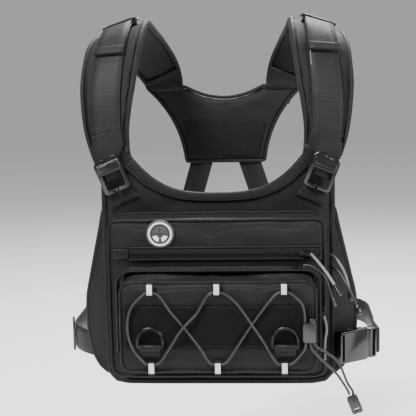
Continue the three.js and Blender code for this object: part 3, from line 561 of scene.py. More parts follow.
def on_body(distance, off, height):
    """The point at a distance along the body from the front centre, standing off it."""
    along = (distance + HALF_GIRTH) % (2 * HALF_GIRTH) - HALF_GIRTH
    side = -1 if along < 0 else 1
    s = abs(along)
    reach = RIB_RADIUS + off
    if s <= CHEST_FLAT_HALF:
        return mm(side * s, -off, height)
    if s <= CHEST_FLAT_HALF + QUARTER:
        turn = (s - CHEST_FLAT_HALF) / RIB_RADIUS
        x = CHEST_FLAT_HALF + reach * math.sin(turn)
        return mm(side * x, RIB_RADIUS - reach * math.cos(turn), height)
    if s <= CHEST_FLAT_HALF + QUARTER + FLANK:
        return mm(side * (CHEST_FLAT_HALF + reach), RIB_RADIUS + s - CHEST_FLAT_HALF - QUARTER, height)
    if s <= CHEST_FLAT_HALF + 2 * QUARTER + FLANK:
        turn = (s - CHEST_FLAT_HALF - QUARTER - FLANK) / RIB_RADIUS
        y = CHEST_DEPTH - RIB_RADIUS + reach * math.sin(turn)
        return mm(side * (CHEST_FLAT_HALF + reach * math.cos(turn)), y, height)
    return mm(side * (2 * CHEST_FLAT_HALF + 2 * QUARTER + FLANK - s), CHEST_DEPTH + off, height)


def along_at(x):
    return CHEST_FLAT_HALF + RIB_RADIUS * math.asin((abs(x) - CHEST_FLAT_HALF) / RIB_RADIUS)


def belt_frames(start, end, off, height, steps):
    """Frames of a band that follows the body: its point, the way up its width, and the way out."""
    frames = []
    for i in range(steps + 1):
        s = start + (end - start) * i / steps
        point = on_body(s, off, height)
        out = (on_body(s, off + 1, height) - point).normalized()
        frames.append((point, UP, out))
    return frames


# ---- Padded fabric ----------------------------------------------------------------------

def surface_of(mesh):
    bm = bmesh.new()
    bm.from_mesh(mesh)
    bmesh.ops.remove_doubles(bm, verts=bm.verts, dist=WELD_GAP)
    tree = BVHTree.FromBMesh(bm)
    bm.free()
    return tree


def apply_modifiers(piece):
    graph = bpy.context.evaluated_depsgraph_get()
    mesh = bpy.data.meshes.new_from_object(piece.evaluated_get(graph))
    piece.modifiers.clear()
    old = piece.data
    piece.data = mesh
    bpy.data.meshes.remove(old)


def swell(piece):
    """Blows the cover up from inside for a few steps and returns where its points end."""
    cloth = piece.modifiers.new("cloth", "CLOTH")
    cloth.settings.quality = 4
    cloth.settings.use_pressure = True
    cloth.settings.uniform_pressure_force = SWELL_PRESSURE
    cloth.settings.effector_weights.gravity = 0
    cloth.point_cache.frame_start = 1
    cloth.point_cache.frame_end = SWELL_STEPS
    for step in range(1, SWELL_STEPS + 1):
        bpy.context.scene.frame_set(step)
    graph = bpy.context.evaluated_depsgraph_get()
    ends = [v.co.copy() for v in piece.evaluated_get(graph).data.vertices]
    piece.modifiers.remove(cloth)
    bpy.context.scene.frame_set(1)
    return ends


SWELL_STEPS = 20
SWELL_PRESSURE = 4.0
SWELL_LIMIT = 1.6
CLEARANCE = 0.15 * MM
FOLD_SIZE = 0.045
PUCKER_SIZE = 0.014


def pad_out(node, name, material, voxel, inset, seam_at, crease, seed):
    """A filled fabric piece in its CAD piece's space: shrunk, swelled and held down at its seams.
    seam_at gives how free a point is, from 0 on a seam to 1 away from it."""
    space = surface_of(nodes[node].data)
    bm = bmesh.new()
    bm.from_mesh(nodes[node].data)
    bmesh.ops.remove_doubles(bm, verts=bm.verts, dist=WELD_GAP)
    piece = finish_piece(name, bm, material, node)
    remesh = piece.modifiers.new("remesh", "REMESH")
    remesh.mode = "VOXEL"
    remesh.voxel_size = voxel * MM
    apply_modifiers(piece)
    mesh = piece.data
    inset *= MM
    start = [v.co - v.normal * inset for v in mesh.vertices]
    for vert, point in zip(mesh.vertices, start):
        vert.co = point
    ends = swell(piece)
    for vert, point, end in zip(mesh.vertices, start, ends):
        freedom = seam_at(point)
        move = end - point
        limit = inset * SWELL_LIMIT * freedom
        if move.length > limit:
            move = move.normalized() * limit
        folds = 0.5 + 0.65 * wrinkle((point.x, point.y, point.z * 1.6), FOLD_SIZE, seed)
        puckers = 0.5 + 0.5 * wrinkle(point, PUCKER_SIZE, seed + 4)
        dent = crease * MM * (0.75 * folds + 0.25 * puckers) * (0.35 + 0.65 * freedom)
        place = point + move - vert.normal * dent
        found, normal, _, _ = space.find_nearest(place)
        if (place - found).dot(normal) > -CLEARANCE:
            place = found - normal * CLEARANCE
        vert.co = place
    mesh.materials.clear()
    mesh.materials.append(material)
    mesh.shade_smooth()
    smooth = piece.modifiers.new("smooth", "SUBSURF")
    smooth.levels = 1
    smooth.render_levels = 1
    return piece


def laid_row(tree, places, off, way):
    """Points on a padded surface in line with each place's x and z, standing off it, looked for along way."""
    row = []
    for place in places:
        found, _, _, _ = tree.ray_cast(Vector((place.x, -0.3 * way.y, place.z)), way)
        if found:
            row.append(found - way * off * MM)
    return row


def rectangle_line(box, inset, radius, y, per_corner=6):
    """A closed rounded rectangle of points at the depth y, inset from a bag's outline."""
    left, bottom = box["left"] + inset, box["bottom"] + inset
    right, top = box["right"] - inset, box["top"] - inset
    corners = [(right - radius, top - radius, 0), (left + radius, top - radius, 90),
               (left + radius, bottom + radius, 180), (right - radius, bottom + radius, 270)]
    line = []
    for cx, cz, first in corners:
        for i in range(per_corner + 1):
            a = math.radians(first + 90 * i / per_corner)
            line.append(mm(cx + radius * math.cos(a), y, cz + radius * math.sin(a)))
    return line + [line[0]]


def evenly(line, step):
    """The same line with points a step apart."""
    out = [line[0]]
    left = step
    for a, b in zip(line, line[1:]):
        length = (b - a).length
        at = 0.0
        while length - at >= left:
            at += left
            out.append(a.lerp(b, at / length))
            left = step
        left -= length - at
    out.append(line[-1])
    return out


PIPING_PROUD = 0.4
TUBE_STEP = 4 * MM


def corded_edge(name, line, radius):
    """A thin round edge of binding along an open line."""
    finish_piece(name, tube(evenly(line, TUBE_STEP), radius * MM, 8), BINDING)


def piping(name, line, radius, tree):
    """Corded piping sewn into a closed seam of a bag, half sunk in its cloth."""
    laid = []
    for point in evenly(line, TUBE_STEP):
        found, normal, _, _ = tree.find_nearest(point)
        laid.append(found + normal * PIPING_PROUD * MM)
    corded_edge(name, laid, radius)


def seam_box(left, bottom, right, top, lines, reach):
    """How free a point of a boxed pouch is, from the seams round it at the depths in lines."""
    def freedom(point):
        x, y, z = point / MM
        edge = min(x - left, right - x, z - bottom, top - z)
        gap = min(math.hypot(edge, y - line) for line in lines)
        return min(1.0, max(0.0, gap / reach))
    return freedom


BIB_HALF = 140
BIB_BOTTOM = -119
BIB_REACH = 22
HORN_TOP = 166
NECK_LOW = 122
NECK_HALF = 103
NECK_RISE = HORN_TOP - NECK_LOW
NECK_SEAM = 10
UPPER = dict(left=-135, bottom=-101, right=135, top=100)
FRONT_BAG = dict(left=-116, bottom=-84, right=122, top=31)
UPPER_FACE = -58
FRONT_REAR = -58.3
FRONT_FACE = -100.3
FRONT_REAR_TOP = 42


def neckline(x, inset):
    """The height of the bib's neckline at x, inset from its edge."""
    return NECK_LOW - inset + NECK_RISE * (abs(x) / (NECK_HALF + inset)) ** 3


def binding_line(y, inset):
    half = NECK_HALF + inset
    return [mm(x, y, min(neckline(x, inset), HORN_TOP)) for x in (half * (i / 40 - 1) for i in range(81))]


def bib_freedom(point):
    """How free a point of the bib is, from its edges and its neckline."""
    x, _, z = point / MM
    edge = min(BIB_HALF - abs(x), z - BIB_BOTTOM, HORN_TOP - z)
    neck = neckline(x, NECK_SEAM) - z
    return min(1.0, max(0.0, min(edge, neck) / BIB_REACH))


def even_freedom(point):
    return 0.8


pad_out("chest_panel", "chest_panel_cover", NYLON, 4, 1.2, bib_freedom, 0.5, 3.1)
for end in SIDES.values():
    pad_out(f"side_wing_{end}", f"side_wing_cover_{end}", NYLON, 2, 0.5, even_freedom, 0.25, 7.7)
upper_bag = pad_out("upper_pouch", "upper_pouch_cover", NYLON, 5, 2.4,
                    seam_box(lines=(UPPER_FACE + 2, -9), reach=22, **UPPER), 2.6, 11.3)
front_bag = pad_out("front_pouch", "front_pouch_cover", NYLON, 4.5, 2.2,
                    seam_box(lines=(FRONT_FACE + 2, FRONT_REAR), reach=18, **FRONT_BAG), 1.7, 17.9)
yoke = pad_out("back_yoke", "back_yoke_cover", NYLON, 4, 1.2, even_freedom, 0.8, 23.1)
upper_tree = surface_of(upper_bag.data)
front_tree = surface_of(front_bag.data)


# ---- Seams and edges of the bags --------------------------------------------------------

def bag_seams(name, tree, box, front, rear, stitch_inset):
    """A bag's piping round its face and its back, and the topstitching inside its face."""
    for end, (outline, inset, corner, y, radius) in (("front", front), ("rear", rear)):
        piping(f"{name}_{end}_piping", rectangle_line(outline, inset, corner, y), radius, tree)
    ring = evenly(rectangle_line(box, stitch_inset, 12, 0), 6 * MM)
    stitch_rows(f"{name}_topstitch", [laid_row(tree, ring, 0.15, -FRONT)])


bag_seams("upper_pouch", upper_tree, UPPER, (UPPER, 1, 15, -57, 1.8), (UPPER, 0.6, 15.5, -11, 1.6), 5.4)
bag_seams("front_pouch", front_tree, FRONT_BAG, (FRONT_BAG, 1, 15, -99.3, 1.7),
          (dict(FRONT_BAG, top=FRONT_REAR_TOP), 0.6, 15.5, -61, 1.5), 5.2)


def neckline_edge():
    """Tape folded over the neckline, thicker than the bib, with two rows of stitches."""
    rings = []
    for upper, lower in zip(binding_line(-4.4, 0.2), binding_line(-4.4, 12.4)):
        rings.append(oval_ring((upper + lower) / 2, FRONT * 4.6 * MM, (upper - lower) / 2, 16, 0.5, 0.6))
    finish_piece("neckline_tape", loft(rings), BINDING, "neckline_binding")
    stitch_rows("neckline_stitches", [binding_line(-9.1, 9.6), binding_line(-9.1, 2.6)])


neckline_edge()


def bib_outline_tape():
    """Edge tape down both sides and along the bottom of the bib."""
    corner = [(-139.6, 164), (-139.6, -95), (-137.5, -108), (-130, -116), (-116, -118.2)]
    line = corner + [(x, -118.6) for x in (-80, -40, 0, 40, 80)] + [(-x, z) for x, z in reversed(corner)]
    smooth = []
    for (xa, za), (xb, zb) in zip(line, line[1:]):
        steps = max(1, int(math.hypot(xb - xa, zb - za) / 5))
        smooth += [(xa + (xb - xa) * i / steps, za + (zb - za) * i / steps) for i in range(steps)]
    smooth.append(line[-1])

    def place(x, z, off):
        s = math.copysign(along_at(x), x) if abs(x) > CHEST_FLAT_HALF else x
        return on_body(s, off, z)

    rings = []
    for i, (x, z) in enumerate(smooth):
        point = place(x, z, 4)
        out = (place(x, z, 5) - point).normalized()
        ahead = place(*smooth[min(i + 1, len(smooth) - 1)], 4) - place(*smooth[max(i - 1, 0)], 4)
        inward = out.cross(ahead.normalized())
        rings.append(oval_ring(point, out * 4.3 * MM, inward * 3.6 * MM, 12, 0.5, 0.6))
    finish_piece("bib_edge_tape", loft(rings), BINDING)


bib_outline_tape()


# ---- Shoulder straps --------------------------------------------------------------------

STRAP_ROUTE = [
    mm(130, 0.4, 167.5), mm(135, 3, 200), mm(135, 12, 240), mm(131, 32, 280), mm(127, 62, 307),
    mm(124, 97, 317), mm(118, 134, 309), mm(107, 173, 294), mm(93, 201, 271), mm(86, 210, 256.5),
]
PAD_HALF_WIDTHS = (22, 27, 33, 36, 36, 35, 32, 29, 26)
STRAP_SLOPE = math.radians(18)
ON_PAD = 10.85
ON_WEBBING = 13.9
WEBBING_HALF = 19
WEBBING_THICK = 2.2
HEM_THICK = 1.8
ADJUSTER_PLACE = 0.565
TAIL_START = 0.344
PAD_STEPS = 80
BOX_HALF = 15.5


def strap_frame(t, side):
    """The point, the way across and the way out of a shoulder strap at a share of its route."""
    point = catmull(STRAP_ROUTE, t)
    ahead = (catmull(STRAP_ROUTE, t + 1e-3) - catmull(STRAP_ROUTE, t - 1e-3)).normalized()
    level = Vector((math.cos(STRAP_SLOPE), 0, -math.sin(STRAP_SLOPE)))
    across = (level - ahead * level.dot(ahead)).normalized()
    frame = [point, across, across.cross(ahead)]
    if side < 0:
        for way in frame:
            way.x = -way.x
    return frame


def pad_half_width(t):
    place = t * (len(PAD_HALF_WIDTHS) - 1)
    i = min(int(place), len(PAD_HALF_WIDTHS) - 2)
    return PAD_HALF_WIDTHS[i] + (PAD_HALF_WIDTHS[i + 1] - PAD_HALF_WIDTHS[i]) * (place - i)


def strap_frames(start, end, steps, side, lift):
    frames = []
    for i in range(steps + 1):
        t = start + (end - start) * i / steps
        point, across, out = strap_frame(t, side)
        frames.append((point + out * lift(t) * MM, across, out))
    return frames


def strap_row(start, end, steps, side, offset, lift):
    """A row of points along a strap, offset(t) across it and standing off its route by lift."""
    row = []
    for i in range(steps + 1):
        t = start + (end - start) * i / steps
        point, across, out = strap_frame(t, side)
        row.append(point + across * offset(t) * MM + out * lift * MM)
    return row


def cross_row(t, side, lift):
    """A row of points across a strap's webbing."""
    point, across, out = strap_frame(t, side)
    return [point + across * o * MM + out * lift * MM for o in range(-17, 18, 2)]


def crossed_box(a, b, c, d):
    return [[a, b], [b, c], [c, d], [d, a], [a, c], [b, d]]


def box_stitches(start, end, side, half, lift):
    """A sewn box with a cross in it, over a stretch of the strap."""
    def at(t, offset):
        point, across, out = strap_frame(t, side)
        return point + across * offset * MM + out * lift * MM
    return crossed_box(at(start, -half), at(start, half), at(end, half), at(end, -half))


def pad_edges(side):
    """The tape folded over both long edges of a pad, and its rows of stitches."""
    end = SIDES[side]
    rows = []
    for edge, name in ((-1, "inner"), (1, "outer")):
        line = strap_row(0, 1, PAD_STEPS, side, lambda t: edge * (pad_half_width(t) - 1.2), 5)
        rings = []
        for i, point in enumerate(line):
            _, across, out = strap_frame(i / PAD_STEPS, side)
            rings.append(oval_ring(point, out * 5.0 * MM, across * 2.9 * MM, 12, 0.6, 0.6))
        finish_piece(f"shoulder_pad_tape_{end}_{name}", loft(rings), BINDING)
        rows.append(strap_row(0.01, 0.99, PAD_STEPS, side, lambda t: edge * (pad_half_width(t) - 5.4), 10.0))
    stitch_rows(f"shoulder_pad_stitches_{end}", rows)


def shoulder_webbing(name, start, stop, steps, side, lift, thick=WEBBING_THICK, node=None):
    band = strap(strap_frames(start, stop, steps, side, lift), WEBBING_HALF * MM, thick * MM)
    finish_piece(name, band, WEBBING, node)


def shoulder(side):
    end = SIDES[side]
    pad_out(f"shoulder_pad_{end}", f"shoulder_pad_cover_{end}", LINING, 4, 1.6, even_freedom, 0.9,
            31.7 + side)
    pad_edges(side)

    def ripple(t):
        return ON_PAD + 0.3 * wrinkle((t, side, 0), 0.06, 5.0)

    def flap_lift(t):
        rise = math.exp(-((t - ADJUSTER_PLACE) / 0.012) ** 2)
        return ON_WEBBING + 3.7 * rise + 0.35 * wrinkle((t, side, 0), 0.05, 9.0)

    def hem_lift(t):
        return ON_WEBBING + WEBBING_THICK
    shoulder_webbing(f"shoulder_strap_{end}", 1 / 32, 1, 110, side, ripple, node=f"shoulder_webbing_{end}")
    shoulder_webbing(f"shoulder_strap_tail_{end}", TAIL_START, 0.598, 60, side, flap_lift,
                     node=f"shoulder_webbing_flap_{end}")
    shoulder_webbing(f"shoulder_strap_hem_{end}", TAIL_START, 0.372, 6, side, hem_lift, HEM_THICK)

    on_top = ON_PAD + WEBBING_THICK + 0.25
    hem_top = ON_WEBBING + WEBBING_THICK + 2.0
    seams = box_stitches(0.045, 0.115, side, BOX_HALF, on_top)
    seams += box_stitches(0.86, 0.95, side, BOX_HALF, on_top)
    seams += [cross_row(t, side, on_top) for t in (0.22, 0.232, 0.325)]
    seams += [cross_row(t, side, hem_top) for t in (0.350, 0.366)]
    stitch_rows(f"shoulder_strap_stitches_{end}", seams)
    dress(f"shoulder_adjuster_{end}", BLACK_PLASTIC, 0.7 * MM)


for side in SIDES:
    shoulder(side)


def pale_edge_stitches():
    """The line of pale stitches on the right strap's inner edge."""
    row = strap_row(0.30, 0.40, 30, 1, lambda t: -17.4, ON_PAD + WEBBING_THICK + 0.2)
    stitch_rows("pale_edge_stitches", [row], thread=PALE_THREAD, pitch=3.6 * MM)


pale_edge_stitches()


# ---- Shoulder buckles and their tabs ----------------------------------------------------

BUCKLE_TILT = math.radians(22)
YOKE_MIDDLE = 215
LEAD_THICK = 1.7
LEAD_STEPS = 40


def buckle_seat(side):
    """Places what is drawn at the origin, in X and Z with the front at -Y, on a horn of the bib."""
    return Matrix.Translation(mm(side * 129, -8.3, 146)) @ Matrix.Rotation(side * BUCKLE_TILT, 4, "Y")


def outline_solid(points, rear, front, edge, segments=2):
    """A flat shape drawn in X and Z, from the rear to the front plane, with softened edges."""
    bm = bmesh.new()
    face = bm.faces.new([bm.verts.new(mm(x, rear, z)) for x, z in points])
    made = bmesh.ops.extrude_face_region(bm, geom=[face])["geom"]
    bmesh.ops.translate(bm, verts=[g for g in made if isinstance(g, bmesh.types.BMVert)],
                        vec=mm(0, front - rear, 0))
    bmesh.ops.recalc_face_normals(bm, faces=bm.faces)
    if edge:
        bmesh.ops.bevel(bm, geom=bm.edges[:], offset=edge * MM, affect="EDGES", segments=segments,
                        profile=0.5, material=-1, offset_type="OFFSET")
    return bm


def shoulder_tab(side):
    end = SIDES[side]
    bm = outline_solid([(-20, -38), (20, -38), (16, -26), (11, -18), (-11, -18), (-16, -26)], -0.1, -2.4, 0.9)
    seat = buckle_seat(side)
    bmesh.ops.transform(bm, matrix=seat, verts=bm.verts)
    finish_piece(f"shoulder_buckle_tab_cloth_{end}", bm, NYLON, f"shoulder_buckle_tab_{end}")
    rows = [[(-17.5, -36), (17.5, -36)], [(-17.5, -33), (17.5, -33)]]
    rows += [[(x, -36), (x * 10 / 18, -21)] for x in (-18, 18)]
    lines = [[seat @ mm(x, -2.5, z) for x, z in row] for row in rows]
    stitch_rows(f"shoulder_tab_stitches_{end}", lines)
    dress(f"shoulder_buckle_{end}", BLACK_PLASTIC, 0.8 * MM)


def led_webbing(name, line, first_across, last_across, facing, half_at):
    """Webbing along a line of points, turning from one way across to another, with its face to one side."""
    rings = []
    for i in range(LEAD_STEPS + 1):
        t = i / LEAD_STEPS
        point = catmull(line, t)
        ahead = (catmull(line, t + 1e-3) - catmull(line, t - 1e-3)).normalized()
        way = first_across.lerp(last_across, t)
        way = (way - ahead * way.dot(ahead)).normalized()
        face = way.cross(ahead)
        if face.dot(facing) < 0:
            face = -face
        section = strap_section(half_at(t) * MM, LEAD_THICK * MM, 0)
        rings.append([point + way * a + face * n for a, n in section])
    finish_piece(name, loft(rings), WEBBING)


def strap_lead(side):
    """The strap's webbing from the pad's lower end down behind the ladder buckle's bars."""
    end = SIDES[side]
    seat = buckle_seat(side)
    line = []
    for t in (0.095, 0.06):
        top, across, out = strap_frame(t, side)
        line.append(top + out * 12.7 * MM)
    line += [seat @ mm(0, y, z) for y, z in ((-3.6, 22), (-2.1, 12), (-2.1, 2), (-2.1, -6))]

    def half_at(t):
        return WEBBING_HALF - 5.2 * min(1, max(0, (t - 0.25) / 0.2))
    led_webbing(f"strap_lead_{end}", line, across * side, seat.to_3x3() @ Vector((1, 0, 0)), FRONT, half_at)


def yoke_lead(side):
    """The strap's webbing from the pad's upper end down the yoke's outer face, boxed in stitches there."""
    end = SIDES[side]
    line = []
    for t in (0.965, 1.0):
        point, across, out = strap_frame(t, side)
        line.append(point + out * (ON_PAD + 0.4) * MM)
    line += [mm(side * x, y, z) for x, y, z in ((81.5, 221.2, 249), (78.5, 221.0, 240), (73.5, 220.9, 224))]
    led_webbing(f"yoke_lead_{end}", line, across, across, -FRONT, lambda t: WEBBING_HALF)
    down = (line[-1] - line[-2]).normalized()
    level = down.cross(FRONT)
    corners = [line[-1] + down * d * MM + level * w * MM - FRONT * 2.0 * MM
               for d, w in ((-17, -BOX_HALF), (-17, BOX_HALF), (-2, BOX_HALF), (-2, -BOX_HALF))]
    seams = crossed_box(*corners)
    stitch_rows(f"yoke_lead_stitches_{end}", seams)


def strap_sleeves(side):
    """The cloth sewn round each end of a pad, where it joins the bib's horn and the yoke."""
    end = SIDES[side]
    joint = [(131, -4.6, 181, 24.3, 5.7), (130.2, -4.6, 174, 23.6, 5.9), (128.5, -4.4, 168, 23.2, 5.4),
             (124, -4.2, 162, 23, 4.9), (119, -4.1, 155, 22.6, 4.7), (117.5, -4.0, 148, 22.4, 4.2)]
    rings = []
    for x, y, z, half, deep in joint:
        rings.append(oval_ring(mm(side * x, y, z), mm(half, 0, 0), mm(0, deep, 0), 20, 0.4, 0.4))
    finish_piece(f"horn_sleeve_{end}", loft(rings), NYLON)
    rings = []
    for t, half, deep in ((0.955, 28.2, 6.0), (0.98, 28, 6.2), (1.0, 27.6, 6.1)):
        point, across, out = strap_frame(t, side)
        rings.append(oval_ring(point + out * 5.2 * MM, across * half * MM, out * deep * MM, 20, 0.4, 0.4))
    joint = ((84, 251, 27, 5.9, 0.6), (82.5, 245, 26, 5.7, 0.3), (80, 240, 24.5, 5.4, 0))
    for x, z, half, deep, lean in joint:
        level = Vector((across.x, 0, across.z * lean))
        rings.append(oval_ring(mm(side * x, YOKE_MIDDLE, z), level * half * MM, mm(0, deep, 0), 20, 0.4, 0.4))
    finish_piece(f"yoke_sleeve_{end}", loft(rings), NYLON)


for side in SIDES:
    shoulder_tab(side)
    strap_lead(side)
    yoke_lead(side)
    strap_sleeves(side)


# ---- Belt and back straps ---------------------------------------------------------------

BELT_HEIGHT = -75
BELT_HALF = 16
WING_END = along_at(172) + 2
ADJUSTER_AT = WING_END + 48


def belt_piece(name, node, frames):
    finish_piece(name, strap(frames, BELT_HALF * MM, WEBBING_THICK * MM), WEBBING, node)


belt_piece("belt_anchor_strap_left", "belt_anchor_left",
           belt_frames(-(WING_END - 12), -(ADJUSTER_AT - 2), 0.15, BELT_HEIGHT, 20))
belt_piece("belt_anchor_strap_right", "belt_anchor_right",
           belt_frames(along_at(140) + 2, 135 + 13 + 17 - 6, 4.3, BELT_HEIGHT, 8))

RELEASE_TURN = 0.6235
RELEASE_SEAT = Matrix.Translation(mm(165.6, 10.5, BELT_HEIGHT)) @ Matrix.Rotation(RELEASE_TURN, 4, "Z")


def waist_belt():
    start = -(ADJUSTER_AT - 2 + 0.3)
    end = -(2 * HALF_GIRTH - 165 - 17.3 - 14 - 34)
    frames = belt_frames(start, end, 0.1, BELT_HEIGHT, 120)
    out = (RELEASE_SEAT.to_3x3() @ Vector((0, -1, 0))).normalized()
    for x in (40, 33.4):
        frames.append((RELEASE_SEAT @ mm(x, -5.1, 0), UP, out))
    belt_piece("waist_belt_strap", "waist_belt", frames)


waist_belt()


def back_strap(side):
    end = SIDES[side]
    low = on_body(side * (HALF_GIRTH - 95), 0, BELT_HEIGHT + BELT_HALF + 0.3) + mm(0, 0.4, 0)
    top = mm(side * 34.5, 213, 137.7)
    frames = []
    for i in range(25):
        t = i / 24
        point = top.lerp(low, t) + mm(0, 8 * math.sin(math.pi * t), 0)
        frames.append((point, Vector((1, 0, 0)), Vector((0, 1, 0))))
    belt_piece(f"back_strap_webbing_{end}", f"back_strap_{end}", frames)
    rows = [[frames[k][0] + mm(x, 2.6, 0) for x in (-13, 13)] for k in (1, 2, 22, 23)]
    stitch_rows(f"back_strap_stitches_{end}", rows)


for side in SIDES:
    back_strap(side)

for node, edge in (("belt_adjuster", 0.7), ("belt_buckle_shell", 1.1), ("belt_buckle_insert", 0.9),
                   ("belt_buckle_prong_upper", 0.7), ("belt_buckle_prong_lower", 0.7)):
    dress(node, BLACK_PLASTIC, edge * MM)


# ---- Zips -------------------------------------------------------------------------------

COIL_PITCH = 1.5 * MM


def flat_band(name, node, line, half, thick, out):
    """A zip tape along a line of points, lying against a face whose outward way is given for each."""
    frames = []
    for i, point in enumerate(line):
        ahead = heading(line, i)
        frames.append((point, out[i].cross(ahead).normalized(), out[i]))
    finish_piece(name, strap(frames, half * MM, thick * MM), ZIP_TAPE, node)
    return frames


def zip_coil(name, frames, lift, half):
    """Two rows of coil teeth meeting along the middle of the tape."""
    places = []
    for side in (-1, 1):
        row = [point + out * lift * MM + across * side * half * MM for point, across, out in frames]
        for place in along_row(row, COIL_PITCH):
            places.append(place @ Matrix.Rotation(math.pi / 2, 4, "Z"))
    repeated(name, bead_mesh(name, 2.6 * MM, 0.55 * MM), places, BLACK_PLASTIC)


def tape_stitches(name, frames, offset, lift):
    rows = [[p + o * lift * MM + a * s * offset * MM for p, a, o in frames] for s in (-1, 1)]
    stitch_rows(name, rows)


def upper_zip():
    line = [mm(-104.5 + 231 * i / 60, -58.3, 55) for i in range(61)]
    frames = flat_band("upper_zip_cloth", "upper_zip_tape", line, 6, 0.9, [FRONT] * 61)
    zip_coil("upper_zip_coil", frames, 1.2, 1.0)
    tape_stitches("upper_zip_stitches", frames, 4.9, 1.05)
    welt = [p + mm(0, -0.4, 7.2) for p in line]
    corded_edge("upper_zip_welt_top", welt, 1.5)
    corded_edge("upper_zip_welt_bottom", [p + mm(0, -0.4, -7.2) for p in line], 1.3)
    bm = outline_solid([(-123, 49), (-105.2, 49), (-105.2, 61), (-123, 61)], -58.3, -60.2, 0.7)
    finish_piece("upper_zip_tab_cloth", bm, WEBBING, "upper_zip_end_tab")
    box = [(-121.5, 50.5), (-106.7, 50.5), (-106.7, 59.5), (-121.5, 59.5)]
    rows = [[mm(x, -60.3, z) for x, z in pair] for pair in zip(box, box[1:] + box[:1])]
    stitch_rows("upper_zip_tab_stitches", rows)


upper_zip()


def front_top_at(y):
    return 31 + 11 * (y + 100.3) / 42


def front_zip():
    middle = -75.3
    top = front_top_at(middle)
    line = [mm(-116.3, middle, -60 + 8 * i) for i in range(9)]
    for i in range(9):
        a = math.radians(180 - 90 * i / 8)
        line.append(mm(-100 + 16.3 * math.cos(a), middle, top - 16 + 16.3 * math.sin(a)))
    line += [mm(-100 + 206 * i / 40, middle, top + 0.3) for i in range(1, 40)]
    for i in range(9):
        a = math.radians(90 - 90 * i / 8)
        line.append(mm(106 + 16.3 * math.cos(a), middle, top - 16 + 16.3 * math.sin(a)))
    line += [mm(122.3, middle, 12 - 8 * i) for i in range(10)]
    centre = mm(3, middle, -10)
    out = []
    for i, point in enumerate(line):
        ahead = heading(line, i)
        away = ahead.cross(Vector((0, 1, 0))).normalized()
        out.append(away if away.dot(point - centre) > 0 else -away)
    frames = flat_band("front_zip_cloth", "front_zip_tape", line, 6, 1.0, out)
    zip_coil("front_zip_coil", frames, 1.3, 1.0)
    tape_stitches("front_zip_stitches", frames, 4.8, 1.15)
    for side, name in ((-1, "rear"), (1, "front")):
        edge = [p + a * side * 7.0 * MM + o * 0.6 * MM for p, a, o in frames]
        corded_edge(f"front_zip_edge_{name}", edge, 1.5)


front_zip()
for node in ("upper_zip_slider", "front_zip_slider_top", "front_zip_slider_side"):
    dress(node, DARK_METAL, 0.5 * MM)


# ---- Earphone port ----------------------------------------------------------------------

PORT = (-66, -58.3, 79)
TURNED_STEPS = 48


def turned(name, profile, material, node=None):
    """A turned piece about the port's axis, from a profile of radius and height."""
    bm = bmesh.new()
    verts = [bm.verts.new(mm(r, -h, 0)) for r, h in profile]
    edges = [bm.edges.new(pair) for pair in zip(verts, verts[1:])]
    bmesh.ops.spin(bm, geom=verts + edges, cent=(0, 0, 0), axis=(0, 1, 0), angle=2 * math.pi,
                   steps=TURNED_STEPS, use_merge=True)
    bmesh.ops.remove_doubles(bm, verts=bm.verts, dist=1e-6)
    bmesh.ops.recalc_face_normals(bm, faces=bm.faces)
    bmesh.ops.translate(bm, verts=bm.verts, vec=mm(*PORT))
    finish_piece(name, bm, material, node)


def arc_profile(r, h, radius, start, end, steps=6):
    turns = [math.radians(start + (end - start) * i / steps) for i in range(steps + 1)]
    return [(r + radius * math.cos(a), h + radius * math.sin(a)) for a in turns]


def port_patch(start, end):
    """A white patch between two angles of the port's face."""
    arc = [math.radians(start + (end - start) * i / 8) for i in range(9)]
    points = [(9.6 * math.cos(a), 9.6 * math.sin(a)) for a in arc]
    points += [(4.6 * math.cos(a), 4.6 * math.sin(a)) for a in reversed(arc)]
    bm = outline_solid(points, -1.0, -2.3, 0.25)
    bmesh.ops.translate(bm, verts=bm.verts, vec=mm(*PORT))
    finish_piece(f"port_patch_{start}", bm, PORT_WHITE)


def earphone_port():
    lip = [(13.0, 2.3), (12.2, 2.6), (11.3, 2.3), (11.0, 1.6), (11.0, 0)]
    ring = [(11.0, 0), (17, 0), (17, 1.0)] + arc_profile(15.4, 1.0, 1.6, 0, 90) + lip
    turned("port_ring", ring, GREY_RUBBER, "earphone_port_ring")
    turned("port_reflector", arc_profile(13.4, 2.0, 1.3, 0, 360, 12), PORT_WHITE)
    dress("earphone_port_flap", GREY_RUBBER, 0.25 * MM)
    port_patch(198, 256)
    port_patch(284, 342)


earphone_port()


# ---- Loop field, reflective loops, D-rings ----------------------------------------------

def loop_field():
    low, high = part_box("hook_field")
    low, high = low / MM, high / MM
    outline = [(low.x, low.z), (high.x, low.z), (high.x, high.z), (low.x, high.z)]
    bm = outline_solid(outline, high.y + 0.4, low.y + 0.2, 0)
    long_edges = [e for e in bm.edges if (e.verts[0].co - e.verts[1].co).length > 0.03]
    bmesh.ops.subdivide_edges(bm, edges=long_edges, cuts=90, use_grid_fill=True)
    for vert in bm.verts:
        if vert.co.y < (low.y + 1) * MM:
            vert.co.y -= 0.35 * MM * abs(wrinkle(vert.co, 0.004, 3.0))
    finish_piece("loop_field", bm, PILE, "hook_field")
    x0, x1, z0, z1 = low.x + 2, high.x - 2, low.z + 2, high.z - 2
    corners = [mm(x, low.y - 0.05, z) for x, z in ((x0, z0), (x1, z0), (x1, z1), (x0, z1), (x0, z0))]
    stitch_rows("loop_field_stitches", [corners])


loop_field()


